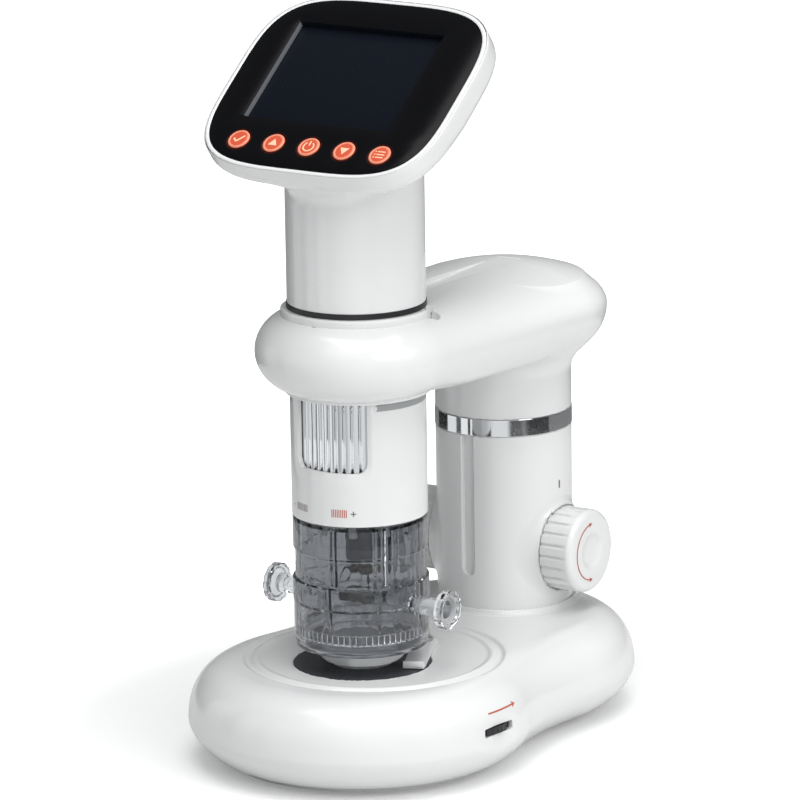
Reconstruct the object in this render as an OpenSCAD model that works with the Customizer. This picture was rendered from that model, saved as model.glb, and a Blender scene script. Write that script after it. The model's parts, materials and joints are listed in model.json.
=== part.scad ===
// Digital microscope: a tube unit with a tilted screen, carried by the collar of a rack-driven stand.
// Lengths are in millimetres. +Z is up, and the screen and the front lobe of the base face -Y.

/* [Layout] */
// Distance from the tube axis to the column axis
axis_distance = 94; // [90:0.5:100]
// Height of the base top above the table
base_h = 34.5; // [33:0.5:38]
// Gap between the base top and the bottom lens of the chamber
lens_gap = 0.9; // [0.6:0.1:4]
// Height of the arm's collar top above the lower end of the barrel
barrel_h = 73.7; // [70:0.1:84]
// Height of the screen's centre above the black ring
head_rise = 75.8; // [74:0.1:90]
// Distance from the tube axis forward to the screen's centre
head_forward = 4.8; // [2:0.1:8]
// Tilt of the screen from level
head_tilt = 37.5; // [32:0.5:42]

/* [Base] */
// Radius of the front lobe
base_front_r = 61.7; // [58:0.1:68]
// Radius of the rear lobe
base_rear_r = 57.6; // [56:0.1:64]
// Distance from the tube axis to the centre of the rear lobe
base_rear_y = 73.4; // [68:0.1:80]
// Radius of the hollow waist between the lobes
base_waist_r = 120; // [60:5:300]
// Height of the widest line
base_belly = 15; // [13:0.5:18]
// Height of the shell's lower edge
base_rim = 2.5; // [2.2:0.1:3.5]
// How far the top rounds inward
base_top_round = 17.3; // [12:0.1:18]
// How far the underside rounds inward
base_low_round = 11.7; // [8:0.1:13]
// Wall of the base shell
base_wall = 2.5; // [2:0.1:3]
// Thickness of the bottom plate
plate_t = 2.5; // [2:0.1:3]
// Depth that the plate sits below the shell's lower edge
plate_drop = 1.5; // [1.2:0.1:1.8]
// Inset of the bottom plate from the shell's lower edge
plate_inset = 1.5; // [1:0.1:2.5]
// Radius of a rubber foot
foot_r = 6; // [4:0.5:8]
// Depth of a foot's socket in the plate
foot_sink = 0.6; // [0.4:0.1:1]
// Radius of a base screw's boss
base_boss_r = 3.4; // [3:0.1:4]

/* [Stage] */
// Radius of the sunk centre of the front lobe
ring_step_r = 44.5; // [38:0.5:45]
// Distance of the ring step's centre behind the tube
ring_step_back = 7.3; // [0:0.1:8]
// Depth of the sunk centre
ring_step = 0.7; // [0.4:0.1:0.8]
// Radius of the stage plate
stage_r = 24.2; // [22:0.1:28]
// Thickness of the stage plate
stage_t = 1.8; // [1.4:0.1:2]
// Height of the stage plate above the sunk centre
stage_proud = 0.2; // [0.1:0.1:0.4]
// Radius of the light window
light_r = 10.8; // [8:0.1:13]
// Radius of the cup that spreads the light
cup_r = 22; // [18:0.5:24]
// Depth of the light cup
cup_h = 2.6; // [2:0.1:4]
// Radius of the lamp board
lamp_board_r = 28; // [26:0.5:30]
// Width of the stage clip
clip_w = 8; // [6:0.5:8.5]
// Length of the stage clip from its pivot to its tip
clip_len = 33; // [26:0.5:34]
// Thickness of the stage clip
clip_t = 0.9; // [0.6:0.1:1]

/* [Brightness dial] */
// Direction of the dial from the front, towards the right side
dial_turn = 85; // [75:1:95]
// Radius of the dial
dial_r = 12; // [10:0.5:13]
// Thickness of the dial
dial_t = 2.4; // [2:0.1:2.6]
// Height of the dial's middle above the table
dial_z = 19.5; // [18:0.5:21]
// Width of the dial's slot
slot_w = 15.6; // [13:0.1:17]
// Height of the dial's slot
slot_h = 3.2; // [3:0.1:4]
// Depth of the dial's edge inside the base surface
dial_sink = 1; // [0.6:0.1:3]

/* [Batteries] */
// Radius of a cell
cell_r = 5.25; // [4.8:0.05:5.3]
// Length of a cell
cell_len = 44.5; // [40:0.5:46]
// Distance between the axes of two cells
cell_pitch = 11.2; // [11:0.1:12]
// Length of a contact spring
cell_spring = 4; // [3:0.5:5]

/* [Column] */
// Radius of the column
column_r = 24.7; // [24:0.1:27]
// Wall of the column
column_wall = 2.5; // [2:0.1:2.8]
// Height of the column above the base top
column_h = 66.1; // [62:0.1:68]
// Height of the chrome band
band_h = 6.1; // [4:0.1:8]
// How far the chrome band stands proud
band_proud = 0.15; // [0.05:0.05:0.4]
// Height of the seat that rings the column's foot
seat_h = 1.9; // [1:0.1:3]
// Width of the front groove
groove_w = 4.7; // [3:0.1:6]
// Depth of the front groove
groove_depth = 0.8; // [0.4:0.1:1.2]
// Height of the groove's lower end above the base top
groove_start = 13.9; // [8:0.1:24]
// Height of a guide ring
guide_h = 8; // [6:0.5:10]

/* [Focus drive] */
// Height of the knob axis above the base top
shaft_rise = 22.1; // [21:0.1:26]
// Diameter of the knob shaft
shaft_d = 5; // [4:0.1:5.4]
// Module of the pinion and rack
gear_module = 1; // [0.9:0.05:1.05]
// Number of pinion teeth
pinion_teeth = 16; // [14:1:17]
// Width of the pinion
pinion_w = 10; // [6:0.5:12]
// Travel of the arm
lift_travel = 30; // [15:1:32]
// Radius of a focus knob
knob_r = 15.2; // [14:0.1:17]
// Length of a focus knob
knob_len = 13.4; // [10:0.1:16]
// Depth that a knob's inner end sinks into the column's side
knob_sink = 0.7; // [0.3:0.1:1]
// Number of grip grooves on a knob
knob_grooves = 22; // [12:1:26]

/* [Arm] */
// Gap between the mast and the column's bore
mast_gap = 0.9; // [0.6:0.1:1.2]
// Wall of the mast
mast_wall = 2.5; // [2:0.1:3]
// Radius of the arm round the tube
arm_front_r = 35.7; // [33:0.1:40]
// Radius of the arm round the column
arm_rear_r = 37.8; // [34:0.1:40]
// Height of the arm at the tube
arm_h = 30.5; // [27:0.5:34]
// Depth of the arm's widest line below its top, at the tube
arm_belly = 14.4; // [12:0.1:17]
// How much lower the arm's top is at the column
arm_fall = 1.1; // [0:0.1:3]
// How much lower the arm's underside is at the column
arm_sag = 1.2; // [0:0.1:3]
// Wall of the arm
arm_wall = 2.4; // [2:0.1:3]
// Gap between the barrel and the collar liner
liner_gap = 0.2; // [0.1:0.05:0.3]
// Wall of the collar liner
liner_wall = 1.7; // [1.2:0.1:2.2]
// Height of the liner's lip above the arm
lip_h = 1.05; // [0.6:0.05:2]
// Travel of the unit when it is lifted in the collar
unit_travel = 40; // [20:1:41]

/* [Tube unit] */
// Radius of the barrel
barrel_r = 23.8; // [23:0.1:24.2]
// Wall of the barrel
barrel_wall = 2.4; // [2:0.1:2.6]
// How far the neck stands out from the barrel
neck_step = 0.4; // [0.3:0.1:1]
// Height of the black ring
ring_h = 1.9; // [1.2:0.1:3]
// Left edge of the window, from the front
window_left = -32; // [-40:0.1:-20]
// Right edge of the window, from the front
window_right = 41; // [30:0.5:50]
// Height of the window's sill above the barrel's lower end
window_sill = 18.8; // [17.5:0.1:24]
// Height of the window
window_h = 34; // [26:0.5:36]
// Width of the bevel round the window
bevel = 1.7; // [1:0.1:2.2]
// Height of the grey inlay above the barrel's lower end
inlay_z = 41; // [30:0.1:44]
// Height of the grey inlay
inlay_h = 2.2; // [1.5:0.1:3]
// Gap between the focus ring and the barrel's bore
focus_ring_gap = 0.5; // [0.3:0.1:1]
// Height of the focus ring
focus_ring_h = 31.5; // [28:0.5:33]
// Wall of the focus ring
focus_ring_wall = 3.4; // [2.6:0.1:4]
// Travel of the lens carriage
lens_travel = 6; // [3:0.5:7]
// Radius of the objective snout
snout_r = 5.3; // [4.5:0.1:6.5]
// Length of the snout below the barrel's lower end
snout_drop = 15.6; // [12:0.1:16]
// Number of lamps round the snout
led_count = 12; // [6:1:14]

/* [Screen head] */
// Half width of the black face
face_a = 45.3; // [42:0.1:50]
// Half height of the black face
face_b = 38.8; // [37.5:0.1:42]
// Squareness of the face's outline
face_power = 3.9; // [3.4:0.1:5]
// Thickness of the head behind the face
head_t = 12; // [11:0.5:15]
// Width of the white rim round the face
rim_w = 2.2; // [1.8:0.1:3]
// Width of the seam's inner frame
bezel_w = 1.7; // [1.2:0.1:1.75]
// Width of the screen window
lcd_w = 59.6; // [50:0.1:62]
// Height of the screen window
lcd_h = 44.8; // [38:0.1:46]
// Offset of the screen window to the left
lcd_left = 2.8; // [0:0.1:5]
// Offset of the screen window up the slope
lcd_up = 4.5; // [3.5:0.1:6]
// Thickness of the black face panel
face_t = 3; // [2.4:0.1:3.2]
// Radius of a key
key_r = 4.2; // [3.4:0.1:4.6]
// Distance between two keys
key_pitch = 14.45; // [12:0.05:15]
// Distance of the key row below the face's centre
key_row = 28.5; // [28:0.1:30]
// Height of the keys above the face
key_proud = 0.4; // [0.1:0.1:0.8]
// Travel of a key
key_travel = 0.35; // [0.2:0.05:0.4]

/* [Specimen chamber] */
// Outer radius of the chamber's belt
chamber_r = 23.9; // [23.2:0.1:24.3]
// Height of the chamber
chamber_h = 47.3; // [46:0.1:52]
// Wall of the chamber
chamber_wall = 2; // [1.4:0.1:2.4]
// Radius of the bottom lens
lens_r = 14.7; // [12:0.1:14.9]
// Height of the bottom lens below the chamber floor
lens_h = 5.9; // [5:0.1:8]
// Height of the specimen axis above the chamber floor
specimen_rise = 16.4; // [15.8:0.1:18]
// Radius of the specimen axis outside the chamber
specimen_shaft_r = 3.4; // [2.5:0.1:4]
// Radius of a specimen knob
specimen_knob_r = 7; // [5:0.5:9]
// Thickness of a specimen knob
specimen_knob_t = 3.5; // [2:0.1:5]
// Distance from the tube axis to a specimen knob's outer end
specimen_reach = 37.5; // [35:0.5:42]
// Height of the specimen's pin above the specimen axis
specimen_pin = 8; // [6:0.5:9]

/* [Fits] */
// Radial gap of a running fit
run_fit = 0.05; // [0.03:0.01:0.1]
// Gap between two faces that pass each other
pass_gap = 0.3; // [0.2:0.05:0.4]
// Radial gap of a part that lies in a pocket
pocket_gap = 0.1; // [0.05:0.05:0.15]

/* [Hidden] */
$fn = 64;

// The part is centred on its origin from front to rear.
head_reach = head_forward + (face_b + rim_w) * cos(head_tilt);
front_end = max(base_front_r, head_reach);
rear_end = max(base_rear_y + base_rear_r, axis_distance + arm_rear_r);
tube_y = -(rear_end - front_end) / 2;
column_y = tube_y + axis_distance;

// Radii that follow from a fit
knob_start = column_r - knob_sink;
mast_r = column_r - column_wall - mast_gap;
liner_bore_r = barrel_r + liner_gap;
neck_r = barrel_r + neck_step;
barrel_bore = barrel_r - barrel_wall;
focus_ring_r = barrel_bore - focus_ring_gap;

// Heights up the tube
lens_z = base_h + lens_gap;
chamber_z = lens_z + lens_h;
barrel_z = chamber_z + chamber_h;
collar_z = barrel_z + barrel_h;
neck_z = collar_z + ring_h;
face_z = neck_z + head_rise;
specimen_z = chamber_z + specimen_rise;
snout_z = barrel_z - snout_drop;

// Heights up the column
column_top = base_h + column_h;
band_top = column_top + band_h;
shaft_z = base_h + shaft_rise;
arm_top = collar_z - lip_h;
arm_bottom = arm_top - arm_h;
arm_rear_bottom = arm_bottom - arm_sag;

// Heights in the base
shell_ceiling = base_h - ring_step - base_wall;
plate_bottom = base_rim - plate_drop;
plate_top = plate_bottom + plate_t;
stage_floor = base_h - ring_step;
stage_top = stage_floor + stage_proud;
lamp_board_top = shell_ceiling - cup_h;
board_t = 1.6;

// Outline of two lobes joined by a hollow fillet on each side. Each half runs from front to rear.
function arc(cx, cy, r, from, to, steps, skip) =
    [for (i = [skip:steps]) let (a = from + (to - from) * i / steps) [cx + r * cos(a), cy + r * sin(a)]];

function lobe_half(r1, r2, d, waist, steps) =
    let (along = (d * d + pow(r1 + waist, 2) - pow(r2 + waist, 2)) / (2 * d),
         across = sqrt(pow(r1 + waist, 2) - along * along),
         a1 = atan2(along, across),
         a2 = atan2(along - d, across))
    concat(
        arc(0, 0, r1, -90, a1, steps[0], 0),
        arc(across, along, waist, 180 + a1, 180 + a2, steps[1], 1),
        arc(0, d, r2, a2, 90, steps[2], 1));

function mirrored(half) =
    concat(half, [for (i = [len(half) - 2:-1:1]) [-half[i][0], half[i][1]]]);

function lobe_outline(r1, r2, d, waist, steps) = mirrored(lobe_half(r1, r2, d, waist, steps));

// One ring of a lobed shell. A level is [front inset, front height, rear inset, rear height].
function lobe_ring(level, r1, r2, d, waist, steps) =
    let (s1 = level[0], s2 = level[2])
    [for (p = lobe_outline(r1 - s1, r2 - s2, d, waist + (s1 + s2) / 2, steps))
        let (k = min(1, max(0, p[1] / d))) [p[0], p[1], level[1] + (level[3] - level[1]) * k]];

function lobe_rings(levels, r1, r2, d, waist, steps) =
    [for (level = levels) lobe_ring(level, r1, r2, d, waist, steps)];

// A quarter of a superellipse, as [across, up] for the angle a.
function quarter(a, power) = [pow(cos(a), 2 / power), pow(sin(a), 2 / power)];

// Closed skin over a list of rings that are mirrored about X = 0, with a ladder of faces on each end.
module skin(rings) {
    n = len(rings[0]);
    last = (len(rings) - 1) * n;
    half = n / 2;
    sides = [for (j = [0:len(rings) - 2], i = [0:n - 1], k = [0:1])
        let (a = j * n + i, b = j * n + (i + 1) % n) k == 0 ? [a, a + n, b + n] : [a, b + n, b]];
    first_cap = concat([[0, 1, n - 1]], [[half - 1, half, half + 1]],
        [for (i = [1:half - 2], k = [0:1])
            k == 0 ? [i, i + 1, n - i - 1] : [i, n - i - 1, n - i]]);
    last_cap = [for (f = first_cap) [last + f[2], last + f[1], last + f[0]]];
    polyhedron(points = [for (r = rings) each r], faces = concat(sides, first_cap, last_cap));
}

// Superellipse outline, moved outward by a parallel offset, starting at its lowest point.
function face_outline(offset_out, points) =
    [for (i = [0:points - 1])
        let (t = -90 + 360 * i / points,
             c = cos(t), s = sin(t),
             u = face_a * sign(c) * pow(abs(c), 2 / face_power),
             v = face_b * sign(s) * pow(abs(s), 2 / face_power),
             gu = sign(u) * pow(abs(u / face_a), face_power - 1) / face_a,
             gv = sign(v) * pow(abs(v / face_b), face_power - 1) / face_b,
             g = norm([gu, gv]))
        [u + offset_out * gu / g, v + offset_out * gv / g]];

module at_tube(z = 0) { translate([0, tube_y, z]) children(); }
module at_column(z = 0) { translate([0, column_y, z]) children(); }

// Frame of the screen: X to the right, Y up the slope, Z out of the face.
module at_face(w = 0) {
    translate([0, tube_y - head_forward, face_z]) rotate([head_tilt, 0, 0])
        translate([0, 0, w]) children();
}

module face_slab(offset_out, w, h) {
    at_face(w) linear_extrude(height = h) polygon(face_outline(offset_out, 72));
}

module ring(r_out, r_in, z, h) {
    translate([0, 0, z]) difference() {
        cylinder(r = r_out, h = h);
        translate([0, 0, -1]) cylinder(r = r_in, h = h + 2);
    }
}

// A screw with a domed head below its shank, pointing up.
module screw(head_r, head_h, shank_r, length) {
    cylinder(r = head_r, h = head_h);
    cylinder(r = shank_r, h = length);
}

// ---------------------------------------------------------------- base

base_steps = [16, 5, 15];
base_bands_low = 4;
base_bands_top = 9;
base_low_power = 1.5;
base_top_power = 2.2;

function base_level(inset, z) = [inset, z, inset, z];

base_outer_levels = concat(
    [for (i = [base_bands_low:-1:1]) let (q = quarter(90 * i / base_bands_low, base_low_power))
        base_level(base_low_round * (1 - q[0]), base_belly - (base_belly - base_rim) * q[1])],
    [for (i = [0:base_bands_top]) let (q = quarter(90 * i / base_bands_top, base_top_power))
        base_level(base_top_round * (1 - q[0]), base_belly + (base_h - base_belly) * q[1])]);

base_inner_bands = 3;
base_inner_levels = concat(
    [for (i = [base_inner_bands:-1:0]) let (q = quarter(90 * i / base_inner_bands, base_top_power))
        base_level(base_wall + base_top_round * (1 - q[0]),
            base_belly + (shell_ceiling - base_belly) * q[1])],
    [for (i = [1:2]) let (q = quarter(45 * i, base_low_power))
        base_level(base_wall + base_low_round * (1 - q[0]),
            base_belly - (base_belly - base_rim) * q[1])]);

module base_skin() {
    at_tube() skin(lobe_rings(concat(base_inner_levels, base_outer_levels),
        base_front_r, base_rear_r, base_rear_y, base_waist_r, base_steps));
}

base_screw_points = [[-34, -18], [22, -36], [-38, 18], [36, 66], [-36, 66]];
base_pilot_r = 1.2;
lamp_posts = [for (a = [30, 150, 270]) [(lamp_board_r - 2.6) * cos(a), (lamp_board_r - 2.6) * sin(a)]];
lamp_post_r = 2.4;

dial_reach = base_front_r - dial_sink - dial_r;
dial_x = dial_reach * sin(dial_turn);
dial_y = -dial_reach * cos(dial_turn);

seat_flare = 2.2;
column_hole_r = column_r + pocket_gap;
clip_pivot_back = 29.5;
clip_pivot_side = 7.4;
clip_pin_r = 1.5;

// Raised ring with a hollow flare, round the column's foot.
module column_seat() {
    rotate_extrude() polygon(concat(
        [[column_r - 1, base_h - base_wall / 2], [column_r - 1, base_h + seat_h], [column_r + 0.8,
            base_h + seat_h]],
        [for (i = [0:6]) let (a = 180 + 15 * i)
            [column_r + 0.8 + seat_flare * (1 + cos(a)), base_h + (seat_h - 0.1) * (1 + sin(a))]],
        [[column_r + 0.8 + seat_flare, base_h - base_wall / 2]]));
}

module base_shell() color("whitesmoke") difference() {
    union() {
        base_skin();
        at_column() column_seat();
        at_tube() for (p = base_screw_points) translate([p[0], p[1], plate_top])
            cylinder(r = base_boss_r, h = shell_ceiling - plate_top + base_wall / 2);
        at_tube() for (p = lamp_posts) translate([p[0], p[1], lamp_board_top])
            cylinder(r = lamp_post_r, h = shell_ceiling - lamp_board_top + base_wall / 2);
    }
    at_tube(stage_floor) translate([0, ring_step_back, 0]) cylinder(r = ring_step_r, h = base_h);
    at_tube(stage_top - stage_t) cylinder(r = stage_r + pocket_gap, h = base_h);
    at_tube(shell_ceiling - 1) cylinder(r = light_r + pocket_gap, h = base_h);
    at_column(shell_ceiling - 2) cylinder(r = column_hole_r, h = base_h);
    at_tube() for (p = base_screw_points) translate([p[0], p[1], plate_top - 1])
        cylinder(r = base_pilot_r, h = base_screw_len - screw_head_h + 2);
    at_tube() rotate([0, 0, dial_turn - 90])
        translate([base_front_r - base_wall - 6, -slot_w / 2, dial_z - slot_h / 2])
            cube([12, slot_w, slot_h]);
    at_tube(dial_z - slot_h / 2) translate([dial_x, dial_y, 0])
        cylinder(r = dial_r + pass_gap, h = slot_h);
    at_tube(shell_ceiling - 1) translate([clip_pivot_side, clip_pivot_back, 0])
        cylinder(r = clip_pin_r, h = base_h);
}

screw_head_h = 1.2;
screw_head_r = 2.7;
base_screw_len = 14;
feet_points = [[-28, -26], [28, -26], [-27, 92], [27, 92]];
plate_outline_inset = base_low_round + plate_inset;
door_w = 2 * (cell_len / 2 + cell_spring + 3);
door_len = 3 * cell_pitch + 4;
cells_mid = 44;
door_t = 1.5;
door_lip = 2;

module plate_slab(extra, z, h) {
    translate([0, 0, z]) linear_extrude(height = h) polygon(lobe_outline(
        base_front_r - plate_outline_inset - extra, base_rear_r - plate_outline_inset - extra,
        base_rear_y, base_waist_r + plate_outline_inset + extra, [20, 6, 20]));
}

// Flat plate with a flange that lies under the shell's edge, cell troughs, door opening and sockets.
module base_plate() color("gainsboro") at_tube() difference() {
    union() {
        plate_slab(0, plate_bottom, plate_drop);
        plate_slab(base_wall, plate_bottom, plate_t);
        for (s = [-1, 1]) translate([s * (door_w / 2 + 0.8) - 0.8, cells_mid - door_len / 2,
            plate_top - 0.5])
            cube([1.6, door_len, cell_r + 2.5]);
        translate([dial_x - 7, dial_y - 4, plate_top - 0.5]) cube([4.8, 8, dimmer_z - plate_top + 0.5]);
        translate([0, axis_distance, plate_top - 0.5])
            ring(column_r - 2, column_r - 6, 0, column_bottom - plate_top + 0.5);
    }
    for (p = feet_points) translate([p[0], p[1], plate_bottom - 1])
        cylinder(r = foot_r + pocket_gap, h = 1 + foot_sink);
    for (p = base_screw_points) translate([p[0], p[1], plate_bottom - 1]) {
        cylinder(r = base_pilot_r + 0.3, h = plate_t + 2);
        cylinder(r = screw_head_r + 0.3, h = 1 + screw_head_h + 0.2);
    }
    translate([-door_w / 2, cells_mid - door_len / 2, plate_bottom - 1])
        cube([door_w, door_len, plate_t + 2]);
    translate([-door_w / 2 - door_lip, cells_mid - door_len / 2 - door_lip, plate_bottom - 1])
        cube([door_w + 2 * door_lip, door_len + 2 * door_lip, 1 + door_t]);
}

module rubber_feet() color("dimgray") at_tube() for (p = feet_points) translate([p[0], p[1], 0])
    cylinder(r = foot_r, h = plate_bottom + foot_sink);

module base_screws() color("silver") at_tube() for (p = base_screw_points)
    translate([p[0], p[1], plate_bottom + 0.2]) screw(screw_head_r, screw_head_h, base_pilot_r,
        base_screw_len);

module battery_door() color("gainsboro") at_tube(plate_bottom) difference() {
    translate([-door_w / 2 - door_lip + pocket_gap, cells_mid - door_len / 2 - door_lip + pocket_gap, 0])
        cube([door_w + 2 * (door_lip - pocket_gap), door_len + 2 * (door_lip - pocket_gap), door_t]);
    for (i = [0:4]) translate([-8, cells_mid - door_len / 2 + 2 + i * 1.6, -1]) cube([16, 0.8, 1.5]);
}

cell_z = plate_bottom + door_t + cell_r;

module battery_cells() color("darkolivegreen") at_tube() for (i = [-1:1])
    translate([-cell_len / 2, cells_mid + i * cell_pitch, cell_z]) rotate([0, 90, 0]) {
        cylinder(r = cell_r, h = cell_len - 0.8);
        cylinder(r = 1.9, h = cell_len);
    }

contact_z = cell_len / 2 + cell_spring + 2.6;
spring_wire = 0.6;
spring_turns = 6;

// Each contact is a plate with a stack of wire turns that touch one another.
module battery_springs() color("silver") at_tube() for (i = [-1:1], s = [-1, 1])
    translate([0, cells_mid + i * cell_pitch, cell_z]) rotate([0, s * 90, 0]) {
        translate([-4, -4, contact_z]) cube([8, 8, 0.4]);
        if (s * (i == 0 ? -1 : 1) > 0)
            for (k = [0:spring_turns - 1])
                translate([0, 0, cell_len / 2 + spring_wire
                    + k * (contact_z - cell_len / 2 - 1.8 * spring_wire) / (spring_turns - 1)])
                rotate_extrude() translate([2.2 + 0.25 * k, 0]) circle(r = spring_wire, $fn = 24);
        else translate([0, 0, cell_len / 2]) cylinder(r = 1.6, h = contact_z - cell_len / 2);
    }

// ---------------------------------------------------------------- stage

module stage_plate() color([0.16, 0.16, 0.17]) at_tube(stage_top - stage_t) difference() {
    cylinder(r = stage_r, h = stage_t);
    translate([0, 0, -1]) cylinder(r = light_r + pocket_gap, h = stage_t + 2);
}

cup_wall = 1.5;

module light_diffuser() color("white") at_tube() difference() {
    union() {
        translate([0, 0, lamp_board_top]) cylinder(r = cup_r, h = cup_h);
        translate([0, 0, lamp_board_top]) cylinder(r = light_r, h = stage_top - 0.1 - lamp_board_top);
    }
    translate([0, 0, lamp_board_top - 1]) cylinder(r1 = cup_r - cup_wall, r2 = light_r - cup_wall,
        h = cup_h);
}

module lamp_board() color("seagreen") at_tube(lamp_board_top - board_t) {
    difference() {
        cylinder(r = lamp_board_r, h = board_t);
        for (p = lamp_posts) translate([p[0], p[1], -1]) cylinder(r = 0.9, h = board_t + 2);
    }
    for (a = [0:60:300]) rotate([0, 0, a]) translate([7 - 1.2, -1.2, board_t]) cube([2.4, 2.4, 0.7]);
}

dimmer_z = 12.2;
pot_r = 5;
pot_top = dial_z - dial_t / 2 - pass_gap;
pot_shaft_r = 1.5;

module dimmer_board() color("seagreen") at_tube() translate([dial_x, dial_y, dimmer_z]) {
    translate([-7, -9, 0]) cube([14, 18, board_t]);
    cylinder(r = pot_r, h = pot_top - dimmer_z);
    cylinder(r = pot_shaft_r, h = dial_z + dial_t / 2 - 0.4 - dimmer_z);
}

module brightness_dial() color([0.13, 0.13, 0.13]) at_tube()
    translate([dial_x, dial_y, dial_z - dial_t / 2])
    difference() {
        cylinder(r = dial_r, h = dial_t);
        translate([0, 0, -1]) cylinder(r = pot_shaft_r + run_fit, h = dial_t + 2);
        for (a = [0:12:348]) rotate([0, 0, a]) translate([dial_r + 0.25, 0, -1])
            cylinder(r = 0.6, h = dial_t + 2, $fn = 16);
    }

clip_z = stage_top + pass_gap;
clip_angle = atan2(-29.8, 14.1);
clip_pin_head_r = 2.6;

// Flat spring lever with a turned-up front tab and a round pivot end.
module stage_clip() color("whitesmoke") at_tube(clip_z) translate([clip_pivot_side, clip_pivot_back, 0])
    rotate([0, 0, clip_angle]) difference() {
        union() {
            cylinder(r = clip_w / 2, h = clip_t);
            translate([0, -clip_w / 2, 0]) cube([clip_len - 3, clip_w, clip_t]);
            translate([clip_len - 3, -clip_w / 2, 0]) cube([3, clip_w, clip_t + 1.6]);
        }
        translate([0, 0, -1]) cylinder(r = clip_pin_r + run_fit, h = clip_t + 2);
    }

module clip_screw() color("silver") at_tube(0) translate([clip_pivot_side, clip_pivot_back, 0]) {
    translate([0, 0, shell_ceiling]) cylinder(r = clip_pin_r, h = clip_z + clip_t + 0.2 - shell_ceiling);
    translate([0, 0, stage_floor]) cylinder(r = clip_pin_head_r, h = clip_z - 0.1 - stage_floor);
    translate([0, 0, clip_z + clip_t + 0.1]) cylinder(r = clip_pin_head_r, h = 1.1);
}

// ---------------------------------------------------------------- column

column_bottom = 12;
foot_flange_r = column_r + 3.6;
foot_flange_t = 3;
column_bore_r = column_r - column_wall;
boss_r = knob_r - 0.7;
boss_root_r = knob_r + 3.6;
boss_end = knob_start - 0.3;
hub_r = knob_r - 2.4;
hub_end = knob_start + 1;
bush_r = shaft_d / 2 + 1.5;

// Hollow flare from the column wall to a knob, turned about the shaft axis.
module shaft_boss(side) {
    at_column(shaft_z) rotate([0, side * 90, 0]) rotate_extrude() polygon(concat(
        [[0, column_bore_r - 6], [boss_root_r, column_bore_r - 6]],
        [for (i = [0:6]) let (a = 15 * i)
            [boss_r + (boss_root_r - boss_r) * (1 - sin(a)), boss_end - 4.2 * cos(a)]],
        [[hub_r, boss_end], [hub_r, hub_end], [0, hub_end]]));
}

module column_tube() color("whitesmoke") difference() {
    union() {
        difference() {
            at_column(column_bottom) cylinder(r = column_r, h = column_top - column_bottom);
            for (side = [-1, 1]) at_column(shaft_z) rotate([0, side * 90, 0]) translate([0, 0, boss_end])
                cylinder(r = knob_r + pass_gap, h = knob_len);
        }
        at_column(column_bottom) cylinder(r = foot_flange_r, h = foot_flange_t);
        for (side = [-1, 1]) shaft_boss(side);
    }
    at_column(column_bottom - 1) cylinder(r = column_bore_r, h = column_h + base_h);
    at_column(shaft_z) translate([-40, 0, 0]) rotate([0, 90, 0]) cylinder(r = bush_r, h = 80);
    at_column(base_h + groove_start + groove_w / 2) translate([-groove_w / 2, -column_r - 1, 0])
        cube([groove_w, 1 + groove_depth, column_h]);
    at_column(base_h + groove_start + groove_w / 2) translate([0, -column_r - 1, 0]) rotate([-90, 0, 0])
        cylinder(r = groove_w / 2, h = 1 + groove_depth);
    at_column(base_h + 44.5) translate([column_r - 0.3, -0.5, 0]) cube([1, 1, 3]);
}

module chrome_band() color("silver") at_column() ring(column_r + band_proud, column_bore_r, column_top,
    band_h);

guide_r = mast_r + run_fit;

module guide_rings() color("dimgray") at_column() for (z = [shaft_z + 9.4, column_top - guide_h - 2.6])
    ring(column_bore_r, guide_r, z, guide_h);

module shaft_bushes() color("darkgoldenrod") at_column(shaft_z) for (side = [-1, 1])
    rotate([0, side * 90, 0])
    ring(bush_r, shaft_d / 2 + run_fit, mast_r + pass_gap, hub_end - mast_r - pass_gap);

// ---------------------------------------------------------------- focus drive

pitch_r = gear_module * pinion_teeth / 2;
shaft_half = knob_start + knob_len - 3.4;
tooth_half = 0.675 * gear_module;

module focus_shaft() color("silver") at_column(shaft_z) rotate([0, 90, 0])
    translate([0, 0, -shaft_half]) cylinder(d = shaft_d, h = 2 * shaft_half);

// One pinion tooth, pointing along +X, as [radius, half thickness] steps.
function tooth_side() = [
    [pitch_r - 1.25 * gear_module, 1.42 * tooth_half], [pitch_r, tooth_half],
    [pitch_r + 0.5 * gear_module, 0.78 * tooth_half], [pitch_r + gear_module, 0.5 * tooth_half]];

module focus_pinion() color("darkgoldenrod") at_column(shaft_z) rotate([0, 90, 0])
    translate([0, 0, -pinion_w / 2]) difference() {
        linear_extrude(height = pinion_w) polygon([for (k = [0:pinion_teeth - 1])
            let (turn = 90 + 360 * k / pinion_teeth)
            each concat(
                [for (i = [0:3]) let (p = tooth_side()[i],
                    a = turn - p[1] / p[0] * 180 / PI) p[0] * [cos(a), sin(a)]],
                [for (i = [3:-1:0]) let (p = tooth_side()[i],
                    a = turn + p[1] / p[0] * 180 / PI) p[0] * [cos(a), sin(a)]])]);
        translate([0, 0, -1]) cylinder(d = shaft_d, h = pinion_w + 2);
    }

knob_edge = 2.2;
dimple_r = 6;

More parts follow.
